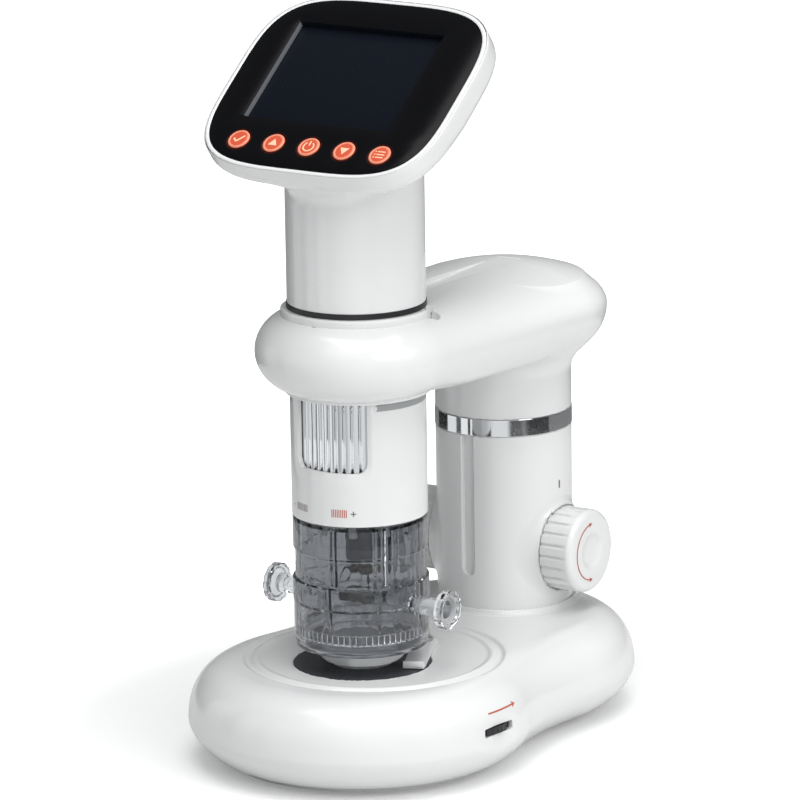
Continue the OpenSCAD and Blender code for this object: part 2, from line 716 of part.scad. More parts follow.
// Cup-shaped grip knob whose rim runs round the boss, with grooves that stop short of the face.
module focus_knob(side) {
    at_column(shaft_z) rotate([0, side * 90, 0]) difference() {
        rotate_extrude() polygon(concat(
            [[0, knob_start], [knob_r - 0.4, knob_start], [knob_r, knob_start + 0.4]],
            [for (i = [0:6]) let (a = 15 * i)
                [knob_r - knob_edge * (1 - cos(a)),
                    knob_start + knob_len - 0.3 - knob_edge * (1 - sin(a))]],
            [[dimple_r + 0.8, knob_start + knob_len], [dimple_r, knob_start + knob_len - 0.2],
             [dimple_r - 1.2, knob_start + knob_len - 0.8], [0, knob_start + knob_len - 1]]));
        translate([0, 0, knob_start - 1]) cylinder(r = hub_r + pass_gap,
            h = 1 + hub_end - knob_start + pass_gap);
        translate([0, 0, knob_start - 1]) cylinder(d = shaft_d, h = 1 + shaft_half - knob_start);
        for (k = [0:knob_grooves - 1]) rotate([0, 0, 360 * (k + 0.5) / knob_grooves])
            translate([knob_r + 0.45, 0, knob_start - 1])
                cylinder(r = 0.9, h = knob_len * 0.62 + 1, $fn = 16);
    }
}

module focus_knob_right() color("whitesmoke") focus_knob(1);
module focus_knob_left() color("whitesmoke") focus_knob(-1);

mast_bottom = column_bottom + 8;
mast_top = arm_rear_bottom + 11;
mast_bore_r = mast_r - mast_wall;
mast_slot = shaft_d + 1;
rack_pitch = PI * gear_module;
rack_back = pitch_r + 5.5;
rack_half = pinion_w / 2 - 0.5;
rack_bottom = shaft_z - lift_travel - 6;
rack_top = shaft_z + 9.5;
spine_half = 6;

module mast_tube() color("lightgray") at_column() difference() {
    union() {
        ring(mast_r, mast_bore_r, mast_bottom, mast_top - mast_bottom);
        intersection() {
            translate([-spine_half, rack_back, mast_bottom])
                cube([2 * spine_half, mast_r - 1 - rack_back, rack_top + 6 - mast_bottom]);
            translate([0, 0, mast_bottom]) cylinder(r = mast_r - 1, h = mast_top);
        }
    }
    translate([-mast_r - 1, -mast_slot / 2, mast_bottom - 1])
        cube([2 * mast_r + 2, mast_slot, shaft_z + mast_slot / 2 + 0.2 - mast_bottom + 1]);
}

// Toothed bar: the polygon runs up the teeth, then back down the plain side.
module focus_rack() color("darkgoldenrod") at_column() rotate([90, 0, 90]) translate([0, 0, -rack_half])
    linear_extrude(height = 2 * rack_half) polygon(concat(
        [[rack_back, rack_bottom], [pitch_r + 1.25 * gear_module, rack_bottom]],
        [for (k = [-floor((lift_travel + 4) / rack_pitch):2]) let (z = shaft_z + (k + 0.5) * rack_pitch)
            each [
            [pitch_r + 1.25 * gear_module, z - 1.66 * tooth_half], [pitch_r - gear_module,
                z - 0.46 * tooth_half],
            [pitch_r - gear_module, z + 0.46 * tooth_half], [pitch_r + 1.25 * gear_module,
                z + 1.66 * tooth_half]]],
        [[pitch_r + 1.25 * gear_module, rack_top], [rack_back, rack_top]]));

// ---------------------------------------------------------------- arm

arm_waist = 3000;
arm_steps = [16, 2, 16];
arm_bands = 6;
arm_top_flat = 19.5;
arm_rear_flat = 11;
arm_low_flat = 19.5;
arm_neck_flare = 29.9;
arm_rear_power = 1.72;
arm_front_power = 2;
arm_rear_top = arm_top - arm_fall;
arm_mid = arm_top - arm_belly;
arm_rear_mid = arm_rear_top - arm_belly - 1.5;

function arm_low_level(a, wall) =
    let (f = quarter(a, arm_front_power), r = quarter(a, arm_rear_power))
    [wall + (arm_front_r - arm_low_flat) * (1 - f[0]), arm_mid - (arm_mid - arm_bottom - wall) * f[1],
     wall + (arm_rear_r - arm_neck_flare) * (1 - r[0]),
         arm_rear_mid - (arm_rear_mid - arm_rear_bottom - wall) * r[1]];

function arm_top_level(a, wall) =
    let (f = quarter(a, arm_front_power), r = quarter(a, arm_rear_power))
    [wall + (arm_front_r - arm_top_flat) * (1 - f[0]), arm_mid + (arm_top - wall - arm_mid) * f[1],
     wall + (arm_rear_r - arm_rear_flat) * (1 - r[0]),
         arm_rear_mid + (arm_rear_top - wall - arm_rear_mid) * r[1]];

module arm_skin(wall, bands) {
    at_tube() skin(lobe_rings(concat(
        [for (i = [bands:-1:1]) arm_low_level(90 * i / bands, wall)],
        [for (i = [0:bands]) arm_top_level(90 * i / bands, wall)]),
        arm_front_r, arm_rear_r, axis_distance, arm_waist, arm_steps));
}

neck_root = band_top + 0.2;
arm_neck_r = column_r;

// Neck that flares up into the arm's underside, as [radius, height] steps turned about the column.
module arm_neck() {
    flare_start = arm_rear_bottom - 10.9;
    at_column() rotate_extrude() polygon([
        [mast_r - 0.5, neck_root], [arm_neck_r, neck_root], [arm_neck_r, flare_start - 2.6],
        [arm_neck_r + 0.1, flare_start], [arm_neck_r + 0.4, flare_start + 2.4], [arm_neck_r + 0.9,
            flare_start + 4.7],
        [arm_neck_r + 1.5, flare_start + 6.8], [arm_neck_r + 2.6, flare_start + 8.7],
        [arm_neck_r + 4, flare_start + 10.1], [arm_neck_flare - 0.3, arm_rear_bottom + 0.15],
        [arm_neck_flare - 1.5, arm_rear_bottom + 1.2], [mast_r + 2.4, arm_rear_bottom + 1.4],
        [mast_r + 2.4, mast_top + 1], [mast_r - 0.5, mast_top + 1]]);
}

liner_r = liner_bore_r + liner_wall;
liner_lip_r = liner_r + 0.8;
liner_lip_sink = 1.7;
cover_w = 36;
cover_len = 30;
cover_mid = axis_distance / 2 + 1;
cover_t = 1.5;
cover_z = arm_bottom - 0.5;
arm_posts = [[-13, cover_mid], [13, cover_mid]];
arm_post_r = 3.2;

module arm_shell() color("whitesmoke") difference() {
    union() {
        difference() {
            arm_skin(0, arm_bands);
            arm_skin(arm_wall, 3);
        }
        arm_neck();
        at_tube() ring(liner_r + 2, liner_r - 1, arm_bottom + 1, arm_h - 3);
        at_tube() for (p = arm_posts) translate([p[0], p[1], cover_z + cover_t])
            cylinder(r = arm_post_r, h = arm_rear_top - arm_wall / 2 - cover_z - cover_t);
    }
    at_tube(arm_bottom - 10) cylinder(r = liner_r, h = arm_h + 20);
    at_tube(arm_top - liner_lip_sink) cylinder(r = liner_lip_r, h = 10);
    at_column(neck_root - 1) cylinder(r = mast_r, h = mast_top - neck_root + 1);
    at_column(mast_top - 0.5) cylinder(r = mast_bore_r, h = 3);
    at_tube() translate([-cover_w / 2, cover_mid - cover_len / 2, arm_bottom - 5])
        cube([cover_w, cover_len, 5 + cover_z + cover_t - arm_bottom]);
    at_tube() for (s = [-1, 1]) translate([s * 5 - 4, cover_mid - cover_len / 2 + 3, arm_bottom - 5])
        cube([8, cover_len - 6, 9]);
    at_tube() for (p = arm_posts) translate([p[0], p[1], arm_bottom - 5])
        cylinder(r = base_pilot_r, h = 18);
}

module arm_cover() color("gainsboro") at_tube(cover_z) difference() {
    translate([-cover_w / 2 + pocket_gap, cover_mid - cover_len / 2 + pocket_gap, 0])
        cube([cover_w - 2 * pocket_gap, cover_len - 2 * pocket_gap, cover_t]);
    for (p = arm_posts) translate([p[0], p[1], -1]) cylinder(r = base_pilot_r + 0.2, h = cover_t + 2);
}

module arm_screws() color("silver") at_tube(cover_z - screw_head_h) for (p = arm_posts)
    translate([p[0], p[1], 0]) screw(screw_head_r, screw_head_h, base_pilot_r, 10);

module collar_liner() color("whitesmoke") at_tube() {
    ring(liner_r, liner_bore_r, arm_bottom + 0.2, collar_z - arm_bottom - 0.2);
    ring(liner_lip_r, liner_bore_r, arm_top - liner_lip_sink, lip_h + liner_lip_sink);
}

upper_ring_bore = barrel_r + pocket_gap;
module upper_ring() color([0.08, 0.08, 0.09]) at_tube()
    ring(neck_r + 0.25, upper_ring_bore, collar_z, ring_h);

// ---------------------------------------------------------------- tube unit

shelf_h = 1.4;
lamp_shelf_z = barrel_z + 3;
ring_shelf_z = barrel_z + 14.2;
ring_shelf_r = focus_ring_r - focus_ring_wall + 1.4;
focus_ring_z = ring_shelf_z + shelf_h + pass_gap;
window_z = barrel_z + window_sill;
spigot_r = neck_r - 2.4;
spigot_wall = 1.5;

module wedge(from, to, r_in, r_out, z, h) {
    translate([0, 0, z]) rotate([0, 0, from - 90]) rotate_extrude(angle = to - from)
        translate([r_in, 0]) square([r_out - r_in, h]);
}

bevel_turn = bevel / barrel_r * 180 / PI;
inlay_depth = 0.6;

module barrel_sleeve() color("whitesmoke") at_tube() difference() {
    union() {
        ring(barrel_r, barrel_bore, barrel_z, neck_z - barrel_z);
        ring(barrel_bore + 0.5, ring_shelf_r, ring_shelf_z, shelf_h);
        ring(barrel_bore + 0.5, led_board_r - 1.4, lamp_shelf_z, shelf_h);
        ring(spigot_r, spigot_r - spigot_wall, collar_z - 4, ring_h + 12);
    }
    wedge(window_left, window_right, barrel_bore - 0.2, barrel_r + 1, window_z, window_h);
    wedge(window_left - bevel_turn, window_right + bevel_turn, barrel_r - 0.8, barrel_r + 1,
        window_z - 2 * bevel, window_h + 3 * bevel);
    difference() {
        ring(barrel_r + 1, barrel_r - inlay_depth, barrel_z + inlay_z, inlay_h);
        wedge(window_left - bevel_turn - 2, window_right + bevel_turn + 2, barrel_bore - 1, barrel_r + 2,
            barrel_z + inlay_z - 1, inlay_h + 2);
    }
}

// Open band that lies in the barrel's groove and stops at each side of the window.
module lower_ring() color("dimgray") at_tube() difference() {
    ring(barrel_r, barrel_r - inlay_depth, barrel_z + inlay_z, inlay_h);
    wedge(window_left - bevel_turn - 2.3, window_right + bevel_turn + 2.3, barrel_bore - 1, barrel_r + 2,
        barrel_z + inlay_z - 1, inlay_h + 2);
}

module neck_tube() color("whitesmoke") difference() {
    at_tube() ring(neck_r, spigot_r, neck_z, face_z - neck_z);
    at_face(-head_t) translate([-1.1 * face_a, -1.8 * face_b, 0])
        cube([2.2 * face_a, 3.6 * face_b, 1.05 * head_rise]);
}

frame_z = collar_z - 10.3;
frame_disc_t = 2;
frame_plate_y = -3.2;
frame_plate_t = 1.6;
pack_r = 9.2;
pack_h = 50;
frame_h = pack_h + 4;
main_board_h = 44;
main_board_w = 34;
chip_side = 12;
chip_t = 1.4;
coil_w = 8;
coil_h = 6;
coil_t = 1;
socket_w = 20;
socket_h = 5;
socket_t = 2.4;

// Disc with an upright plate. The plate carries the main board in front and the cell behind.
module inner_frame() color("gray") at_tube(frame_z) {
    difference() {
        cylinder(r = spigot_r - spigot_wall, h = frame_disc_t);
        translate([-12, -14, -1]) cube([24, 5, frame_disc_t + 2]);
    }
    ring(barrel_bore, spigot_r - spigot_wall - 0.5, 0, frame_disc_t);
    translate([-17, frame_plate_y, frame_disc_t]) cube([34, frame_plate_t, frame_h - frame_disc_t]);
    for (s = [-1, 1]) translate([s * (pack_r + 0.8) - 0.8, frame_plate_y + frame_plate_t, frame_disc_t])
        cube([1.6, 8, frame_h - 14]);
}

module battery_pack() color("royalblue") at_tube(frame_z + frame_disc_t)
    translate([0, frame_plate_y + frame_plate_t + pack_r, 0]) {
        cylinder(r = pack_r, h = pack_h);
        cylinder(r = 3, h = pack_h + 1);
    }

module main_board() color("seagreen") at_tube(frame_z + frame_disc_t + 1)
    translate([-main_board_w / 2, frame_plate_y - board_t, 0]) {
        cube([main_board_w, board_t, main_board_h]);
        translate([8, -chip_t, 18]) cube([chip_side, chip_t, chip_side]);
        translate([22, -coil_t, 6]) cube([coil_w, coil_t, coil_h]);
        translate([4, -socket_t, main_board_h - socket_h - 3]) cube([socket_w, socket_t, socket_h]);
    }

camera_board_r = 18;

module camera_board() color("seagreen") at_tube(frame_z - board_t) {
    cylinder(r = camera_board_r, h = board_t);
    translate([-5, -5, -2]) cube([10, 10, 2]);
}

led_board_r = barrel_bore - 2;
led_ring_r = led_board_r - 3;

module led_ring() color("white") at_tube(lamp_shelf_z - 1.2) {
    ring(led_board_r, snout_r + 2.7, 0, 1.2);
    for (k = [0:led_count - 1]) rotate([0, 0, 360 * (k + 0.9) / led_count])
        translate([led_ring_r - 1.5, -1.5, -0.8]) cube([3, 3, 0.8]);
}

// Ribbed grip ring, turned by a finger through the window.
module focus_ring() color("silver") at_tube(focus_ring_z) difference() {
    cylinder(r = focus_ring_r, h = focus_ring_h);
    translate([0, 0, -1]) cylinder(r = focus_ring_r - focus_ring_wall, h = focus_ring_h + 2);
    for (a = [0:10:350]) rotate([0, 0, a]) translate([focus_ring_r + 0.3, 0, -1])
        cylinder(r = 0.8, h = focus_ring_h + 2, $fn = 16);
}

carriage_r = focus_ring_r - focus_ring_wall - pass_gap;
carriage_z = focus_ring_z + 3;
carriage_h = focus_ring_h - 6;
objective_r = snout_r - 1.1;

module lens_carriage() color([0.12, 0.12, 0.13]) at_tube() rotate_extrude() polygon([
    [objective_r, snout_z], [snout_r, snout_z], [snout_r, carriage_z - 2], [snout_r + 2, carriage_z],
    [carriage_r, carriage_z], [carriage_r, carriage_z + carriage_h], [carriage_r - 2.6,
        carriage_z + carriage_h],
    [carriage_r - 2.6, carriage_z + 2.6], [objective_r, carriage_z + 2.6]]);

module objective_glass() color("lightcyan") at_tube(snout_z + 0.8) cylinder(r = objective_r, h = 2.2);

// ---------------------------------------------------------------- screen head

head_points = 72;
back_edge = [[-2, 0], [0.6, 0.7], [1.7, 2.2], [2.2, 4.2]];
housing_wall = 2;
face_lip = 0.1;
frame_depth = face_t + 1.4;

// Rings run from the inner floor out over the front edge and round to the back.
function face_ring(inset, w) = [for (p = face_outline(inset, head_points)) [p[0], p[1], w]];

module head_housing() color("whitesmoke") difference() {
    union() {
        at_face() mirror([0, 0, 1]) mirror([1, 0, 0]) skin([
            face_ring(rim_w - housing_wall - 1, head_t - housing_wall),
            face_ring(rim_w - housing_wall, head_t - housing_wall - 1),
            face_ring(rim_w - housing_wall, frame_depth + 0.1),
            face_ring(bezel_w + 0.1, frame_depth + 0.1),
            face_ring(bezel_w + 0.1, face_lip),
            face_ring(rim_w - 0.15, face_lip),
            face_ring(rim_w, face_lip + 0.5),
            face_ring(rim_w, head_t - 4.2),
            face_ring(rim_w - 0.5, head_t - 2.2),
            face_ring(rim_w - 1.6, head_t - 0.7),
            face_ring(rim_w - 4.2, head_t)]);
        at_face(-head_t + housing_wall / 2) for (p = head_screw_points) translate([p[0], p[1], 0])
            cylinder(r = head_post_r, h = head_t - housing_wall / 2 - frame_depth - 0.1);
        at_face(-head_t + housing_wall / 2) for (s = [-1, 1])
            translate([s * 1.8 * key_pitch, -key_row, 0])
            cylinder(r = 2.2, h = head_t - housing_wall / 2 - key_board_bottom);
    }
    intersection() {
        at_tube(neck_z) cylinder(r = spigot_r - 3, h = face_z);
        at_face(-head_t - 1) translate([-30, -40, 0]) cube([60, 80, housing_wall + 2]);
    }
    at_face(-head_t - 1) for (p = head_screw_points) translate([p[0], p[1], 0]) {
        cylinder(r = base_pilot_r, h = head_t + 1 - face_t);
        cylinder(r = screw_head_r + 0.2, h = 1 + screw_head_h);
    }
    at_face(-port_w - port_h / 2) translate([-face_a - 4, port_v - port_len / 2, 0])
        cube([8, port_len, port_h]);
    at_face(-port_w - 0.6) translate([-face_a - 4, card_v - card_len / 2, 0]) cube([8, card_len, 1.2]);
}

head_screw_points = [[-39.5, 20], [39.5, 20], [-39.5, -20], [39.5, -20]];
head_post_r = 2.6;
bezel_boss_r = 3;
key_board_bottom = face_t + 3.2;
port_w = 7.4;
port_h = 3.4;
port_len = 9.2;
port_v = 8;
card_v = -8;
card_len = 12;

module head_screws() color("silver") at_face(-head_t) for (p = head_screw_points)
    translate([p[0], p[1], 0])
    screw(screw_head_r, screw_head_h, base_pilot_r, head_t - face_t - 0.6);

// White frame between the housing and the black panel, with a ledge under the panel.
module head_bezel() color("white") difference() {
    face_slab(bezel_w, -frame_depth, frame_depth + 0.1);
    face_slab(pocket_gap, -face_t, face_t + 1);
    difference() {
        face_slab(-1.2, -frame_depth - 1, frame_depth + 1);
        at_face(-frame_depth) for (p = head_screw_points) translate([p[0], p[1], 0]) {
            cylinder(r = bezel_boss_r, h = frame_depth - face_t);
            translate([(sign(p[0]) - 1) * bezel_boss_r, -bezel_boss_r, 0])
                cube([2 * bezel_boss_r, 2 * bezel_boss_r, frame_depth - face_t]);
        }
    }
    at_face(-frame_depth - 1) for (p = head_screw_points) translate([p[0], p[1], 0])
        cylinder(r = base_pilot_r, h = 1 + frame_depth - face_t);
}

key_hole_r = key_r + 0.12;

module face_panel() color([0.04, 0.04, 0.05]) difference() {
    face_slab(0, -face_t, face_t);
    at_face(-face_t - 1) translate([-lcd_left - lcd_w / 2, lcd_up - lcd_h / 2, 0])
        cube([lcd_w, lcd_h, face_t + 2]);
    at_face(-face_t - 1) for (i = [-2:2]) translate([i * key_pitch, -key_row, 0])
        cylinder(r = key_hole_r, h = face_t + 2);
}

lcd_border = 2.4;
lcd_t = 2.2;

module lcd_panel() color([0.08, 0.1, 0.13]) at_face(-face_t - lcd_t)
    translate([-lcd_left - lcd_w / 2 - lcd_border, lcd_up - lcd_h / 2 - lcd_border, 0])
    cube([lcd_w + 2 * lcd_border, lcd_h + 2 * lcd_border, lcd_t]);

key_flange_t = 0.5;
mat_w = face_t + 0.05 + key_flange_t + key_travel + 0.05;
mat_t = 0.6;
mat_len = 2 * (2 * key_pitch + 4.6);

module key_mat() color("lightgray") at_face(-mat_w - mat_t) translate([-mat_len / 2, -key_row - 4.2, 0])
    cube([mat_len, 8.4, mat_t]);

module key_board() color("seagreen") at_face(-key_board_bottom)
    translate([-mat_len / 2 - 1, -key_row - 4.6, 0])
    cube([mat_len + 2, 9.2, key_board_bottom - mat_w - mat_t]);

module key(index) color([0.87, 0.29, 0.16]) at_face() translate([index * key_pitch, -key_row, 0]) {
    translate([0, 0, -face_t - 0.05]) cylinder(r = key_r, h = face_t + 0.05 + key_proud);
    translate([0, 0, -face_t - 0.05 - key_flange_t]) cylinder(r = key_r + 0.7, h = key_flange_t);
}

module key_tick() key(-2);
module key_up() key(-1);
module key_power() key(0);
module key_down() key(1);
module key_menu() key(2);

module charge_port() color("silver") at_face(-port_w) translate([-face_a - rim_w + 0.6, port_v, 0])
    difference() {
    translate([0, -port_len / 2 + 0.1, -port_h / 2 + 0.1]) cube([7.4, port_len - 0.2, port_h - 0.2]);
    translate([-1, -port_len / 2 + 0.5, -port_h / 2 + 0.5]) cube([6, port_len - 1, port_h - 1]);
    translate([-1, -3, -0.3]) cube([1, 6, 0.6]);
}

module card_slot() color("silver") at_face(-port_w) translate([-face_a - rim_w + 2.6, card_v, 0])
    difference() {
    translate([0, -card_len / 2 - 0.8, -1.2]) cube([14, card_len + 1.6, 2.4]);
    translate([-1, -card_len / 2 + 0.2, -0.5]) cube([13, card_len - 0.4, 1]);
}

// ---------------------------------------------------------------- specimen chamber

chamber_bore = chamber_r - chamber_wall - 0.9;
chamber_floor_t = 1.2;
chamber_spigot_r = barrel_bore - 0.2;
chamber_spigot_wall = 1.4;
lens_seat_r = lens_r - 0.8;

// Clear turned cup: spigot, upper wall, waist, belt with the specimen axis, lower wall and floor.
module chamber_shell() color([0.8, 0.88, 0.92, 0.5]) at_tube() difference() {
    union() {
        rotate_extrude() polygon([
            [lens_seat_r + run_fit, chamber_z], [chamber_r - 1, chamber_z], [chamber_r - 0.3,
                chamber_z + 0.8],
            [chamber_r - 0.3, specimen_z - 0.4], [chamber_r, specimen_z - 0.2], [chamber_r,
                specimen_z + 8],
            [chamber_r - 0.9, specimen_z + 8.4], [chamber_r - 0.9, barrel_z - 12.6], [chamber_r - 0.2,
                barrel_z - 11.8],
            [chamber_r - 0.2, barrel_z - 0.1], [chamber_spigot_r, barrel_z - 0.1], [chamber_spigot_r,
                barrel_z + 2.6],
            [chamber_spigot_r - chamber_spigot_wall, barrel_z + 2.6],
                [chamber_spigot_r - chamber_spigot_wall, barrel_z - 1.4],
            [chamber_bore, barrel_z - 2.4], [chamber_bore, chamber_z + chamber_floor_t],
            [lens_seat_r + run_fit, chamber_z + chamber_floor_t]]);
        for (s = [-1, 1]) translate([0, 0, specimen_z]) rotate([0, s * 90, 0])
            translate([0, 0, chamber_bore + 0.6])
            cylinder(r = specimen_shaft_r + 1.8, h = chamber_r + 1.2 - chamber_bore - 0.6);
    }
    translate([-chamber_r - 5, 0, specimen_z]) rotate([0, 90, 0])
        cylinder(r = specimen_shaft_r + run_fit, h = 2 * chamber_r + 10);
}

module chamber_lens() color([0.85, 0.92, 0.95, 0.5]) at_tube() {
    translate([0, 0, lens_z]) cylinder(r = lens_r, h = lens_h);
    translate([0, 0, lens_z]) cylinder(r = lens_seat_r, h = lens_h + chamber_floor_t - 0.1);
}

knob_inner = specimen_reach - specimen_knob_t;
rod_r = 1.5;
tray_half = 4;
tray_t = 1;

// Clear axle in two stub ends joined by a thin rod with a flat tray.
module specimen_shaft() color([0.85, 0.92, 0.95, 0.5]) at_tube(specimen_z) {
    for (s = [-1, 1]) rotate([0, s * 90, 0]) translate([0, 0, chamber_bore - 1])
        cylinder(r = specimen_shaft_r, h = knob_inner - chamber_bore + 1);
    rotate([0, 90, 0]) translate([0, 0, -chamber_bore]) cylinder(r = rod_r, h = 2 * chamber_bore);
    translate([-tray_half, -tray_half, rod_r - tray_t]) cube([2 * tray_half, 2 * tray_half, tray_t]);
    translate([0, 0, rod_r - tray_t]) cylinder(r = 0.6, h = specimen_pin + tray_t - rod_r);
}

module specimen_knobs() color([0.85, 0.92, 0.95, 0.5]) at_tube(specimen_z) for (s = [-1, 1])
    rotate([0, s * 90, 0]) translate([0, 0, knob_inner]) difference() {
        cylinder(r = specimen_knob_r, h = specimen_knob_t);
        for (a = [0:30:330]) rotate([0, 0, a]) translate([specimen_knob_r + 0.5, 0, -1])
            cylinder(r = 1.2, h = specimen_knob_t + 2, $fn = 16);
    }

beetle_r = 1.95;
leg_t = 0.5;

// Small beetle on the pin: a turned body with head and chest, and six bent legs.
module specimen_insect() color([0.22, 0.13, 0.08]) at_tube(specimen_z + specimen_pin + beetle_r) {
    rotate([0, 90, 0]) rotate_extrude() polygon([
        [0, -5.2], [0.7, -4.9], [0.9, -4.2], [0.75, -3.7], [1.4, -3.1], [1.6, -2.2], [1.3, -1.3],
        [1.8, -0.6], [beetle_r, 0.8], [1.8, 2.4], [1.2, 3.8], [0, 4.6]]);
    for (s = [-1, 1], k = [-1:1]) translate([k * 1.5 - 0.4, 0, 0]) rotate([0, 0, s * (90 - k * 22)])
        rotate([90, 0, 0]) translate([0, 0, -leg_t / 2]) linear_extrude(height = leg_t)
        polygon([[0, 0.2], [3.9, 0.9], [4.4, 0.5], [5.5, -2.3], [5.1, -2.4], [3.9, 0.3], [0, -0.5]]);
}

base_shell();
base_plate();
rubber_feet();
base_screws();
stage_plate();
light_diffuser();
lamp_board();
dimmer_board();
battery_cells();
battery_springs();
battery_door();
column_tube();
chrome_band();
guide_rings();
shaft_bushes();
clip_screw();
brightness_dial();
stage_clip();
focus_shaft();
focus_pinion();
focus_knob_right();
focus_knob_left();
arm_shell();
arm_cover();
mast_tube();
focus_rack();
arm_screws();
collar_liner();
upper_ring();
barrel_sleeve();
neck_tube();
lower_ring();
inner_frame();
battery_pack();
main_board();
camera_board();
led_ring();
head_housing();
head_bezel();
face_panel();
lcd_panel();
key_board();
key_mat();
charge_port();
card_slot();
head_screws();
lens_carriage();
objective_glass();
focus_ring();
key_tick();
key_up();
key_power();
key_down();
key_menu();
chamber_shell();
chamber_lens();
specimen_shaft();
specimen_knobs();
specimen_insect();
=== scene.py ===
import json
import math
import random

import bmesh
import bpy
import numpy as np
from mathutils import Matrix, Vector, geometry

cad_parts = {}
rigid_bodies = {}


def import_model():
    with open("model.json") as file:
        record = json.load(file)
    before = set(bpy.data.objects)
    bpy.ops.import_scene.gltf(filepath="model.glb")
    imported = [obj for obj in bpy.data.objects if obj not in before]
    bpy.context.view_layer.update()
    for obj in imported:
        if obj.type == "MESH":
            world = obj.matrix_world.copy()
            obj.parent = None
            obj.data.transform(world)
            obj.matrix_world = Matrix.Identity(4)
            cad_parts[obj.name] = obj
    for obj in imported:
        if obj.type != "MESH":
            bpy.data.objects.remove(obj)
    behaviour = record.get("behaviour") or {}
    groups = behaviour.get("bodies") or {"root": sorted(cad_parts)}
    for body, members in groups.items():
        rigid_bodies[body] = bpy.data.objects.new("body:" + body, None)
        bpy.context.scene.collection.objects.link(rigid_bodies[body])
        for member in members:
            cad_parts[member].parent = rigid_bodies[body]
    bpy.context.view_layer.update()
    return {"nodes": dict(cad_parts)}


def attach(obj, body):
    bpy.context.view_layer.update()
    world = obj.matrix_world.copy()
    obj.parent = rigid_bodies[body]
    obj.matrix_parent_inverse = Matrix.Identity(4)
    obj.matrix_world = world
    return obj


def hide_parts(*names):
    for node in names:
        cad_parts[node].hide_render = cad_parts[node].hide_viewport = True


for old in list(bpy.data.objects):
    bpy.data.objects.remove(old)

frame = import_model()
NODES = frame["nodes"]

# ---------------------------------------------------------------- measures
# Millimetres, from the tube axis at table height: +X right, +Y towards the column, +Z up.
MM = 0.001
TUBE_Y = -35.05
COL_Y = 94.0
BASE = dict(r1=61.66, r2=57.6, d=73.4, waist=120.0, belly=15.0, top=34.5, rim=2.5, top_in=17.3, low_in=11.7)
RING_R, RING_Y = 44.6, 7.3
STAGE_R = 24.2
COL_R, COL_TOP = 24.7, 100.6
SHAFT_Z, KNOB_R = 56.6, 15.2
ARM_TOP, ARM_LOW, ARM_REAR_TOP, ARM_REAR_LOW = 161.25, 130.75, 160.15, 129.55
LINER_R, LINER_BORE = 25.7, 24.0
NOTCH, NOTCH_R = (23.6, 8.6), 4.2
BARREL_R, BARREL_BORE = 23.8, 21.4
NECK_R, FACE_Z, FACE_Y = 24.2, 240.0, -4.8
TILT = math.radians(37.5)
FACE_A, FACE_B, FACE_N = 45.3, 38.8, 3.9
LCD = (-32.6, 27.0, -17.9, 26.9)
KEY_ROW, KEY_PITCH, KEY_R = -28.5, 14.45, 4.2
SPEC_Z = 57.7


# ---------------------------------------------------------------- mesh tools
def mesh_object(name, verts, faces, metres=False):
    """An object from vertices in millimetres in the tube frame and faces as lists or an array."""
    verts = np.asarray(verts, float)
    if not metres:
        verts = (verts + np.array([0, TUBE_Y, 0])) * MM
    me = bpy.data.meshes.new(name)
    if isinstance(faces, np.ndarray):
        n, k = faces.shape
        me.vertices.add(len(verts))
        me.vertices.foreach_set("co", verts.astype(np.float32).ravel())
        me.loops.add(n * k)
        me.loops.foreach_set("vertex_index", faces.astype(np.int32).ravel())
        me.polygons.add(n)
        me.polygons.foreach_set("loop_start", np.arange(0, n * k, k, dtype=np.int32))
        me.update(calc_edges=True)
        me.validate()
    else:
        me.from_pydata([tuple(v) for v in verts], [], [tuple(int(i) for i in f) for f in faces])
        me.update()
    ob = bpy.data.objects.new(name, me)
    bpy.context.scene.collection.objects.link(ob)
    return ob


def tidy(ob, merge=1e-6, recalc=True):
    bm = bmesh.new()
    bm.from_mesh(ob.data)
    bmesh.ops.remove_doubles(bm, verts=bm.verts, dist=merge)
    if recalc:
        bmesh.ops.recalc_face_normals(bm, faces=bm.faces)
    bm.to_mesh(ob.data)
    bm.free()
    return ob


def shade(ob, angle=35):
    ob.data.shade_smooth()
    ob.data.set_sharp_from_angle(angle=math.radians(angle))
    return ob


def dress(ob, material, body, replaces=()):
    """Gives a piece its material and its body, and hides the nodes that it stands for."""
    mats = material if isinstance(material, (list, tuple)) else [material]
    for m in mats:
        ob.data.materials.append(m)
    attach(ob, body)
    if replaces:
        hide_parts(*replaces)
    return ob


def join(name, obs):
    bpy.ops.object.select_all(action="DESELECT")
    for o in obs:
        o.select_set(True)
    bpy.context.view_layer.objects.active = obs[0]
    bpy.ops.object.join()
    obs[0].name = name
    obs[0].data.name = name
    return obs[0]


def cut(ob, tool, operation="DIFFERENCE"):
    """Applies a boolean with a closed tool object, then deletes the tool."""
    mod = ob.modifiers.new("cut", "BOOLEAN")
    mod.operation = operation
    mod.object = tool
    mod.solver = "EXACT"
    dg = bpy.context.evaluated_depsgraph_get()
    me = bpy.data.meshes.new_from_object(ob.evaluated_get(dg))
    ob.modifiers.clear()
    ob.data = me
    bpy.data.objects.remove(tool)
    return ob


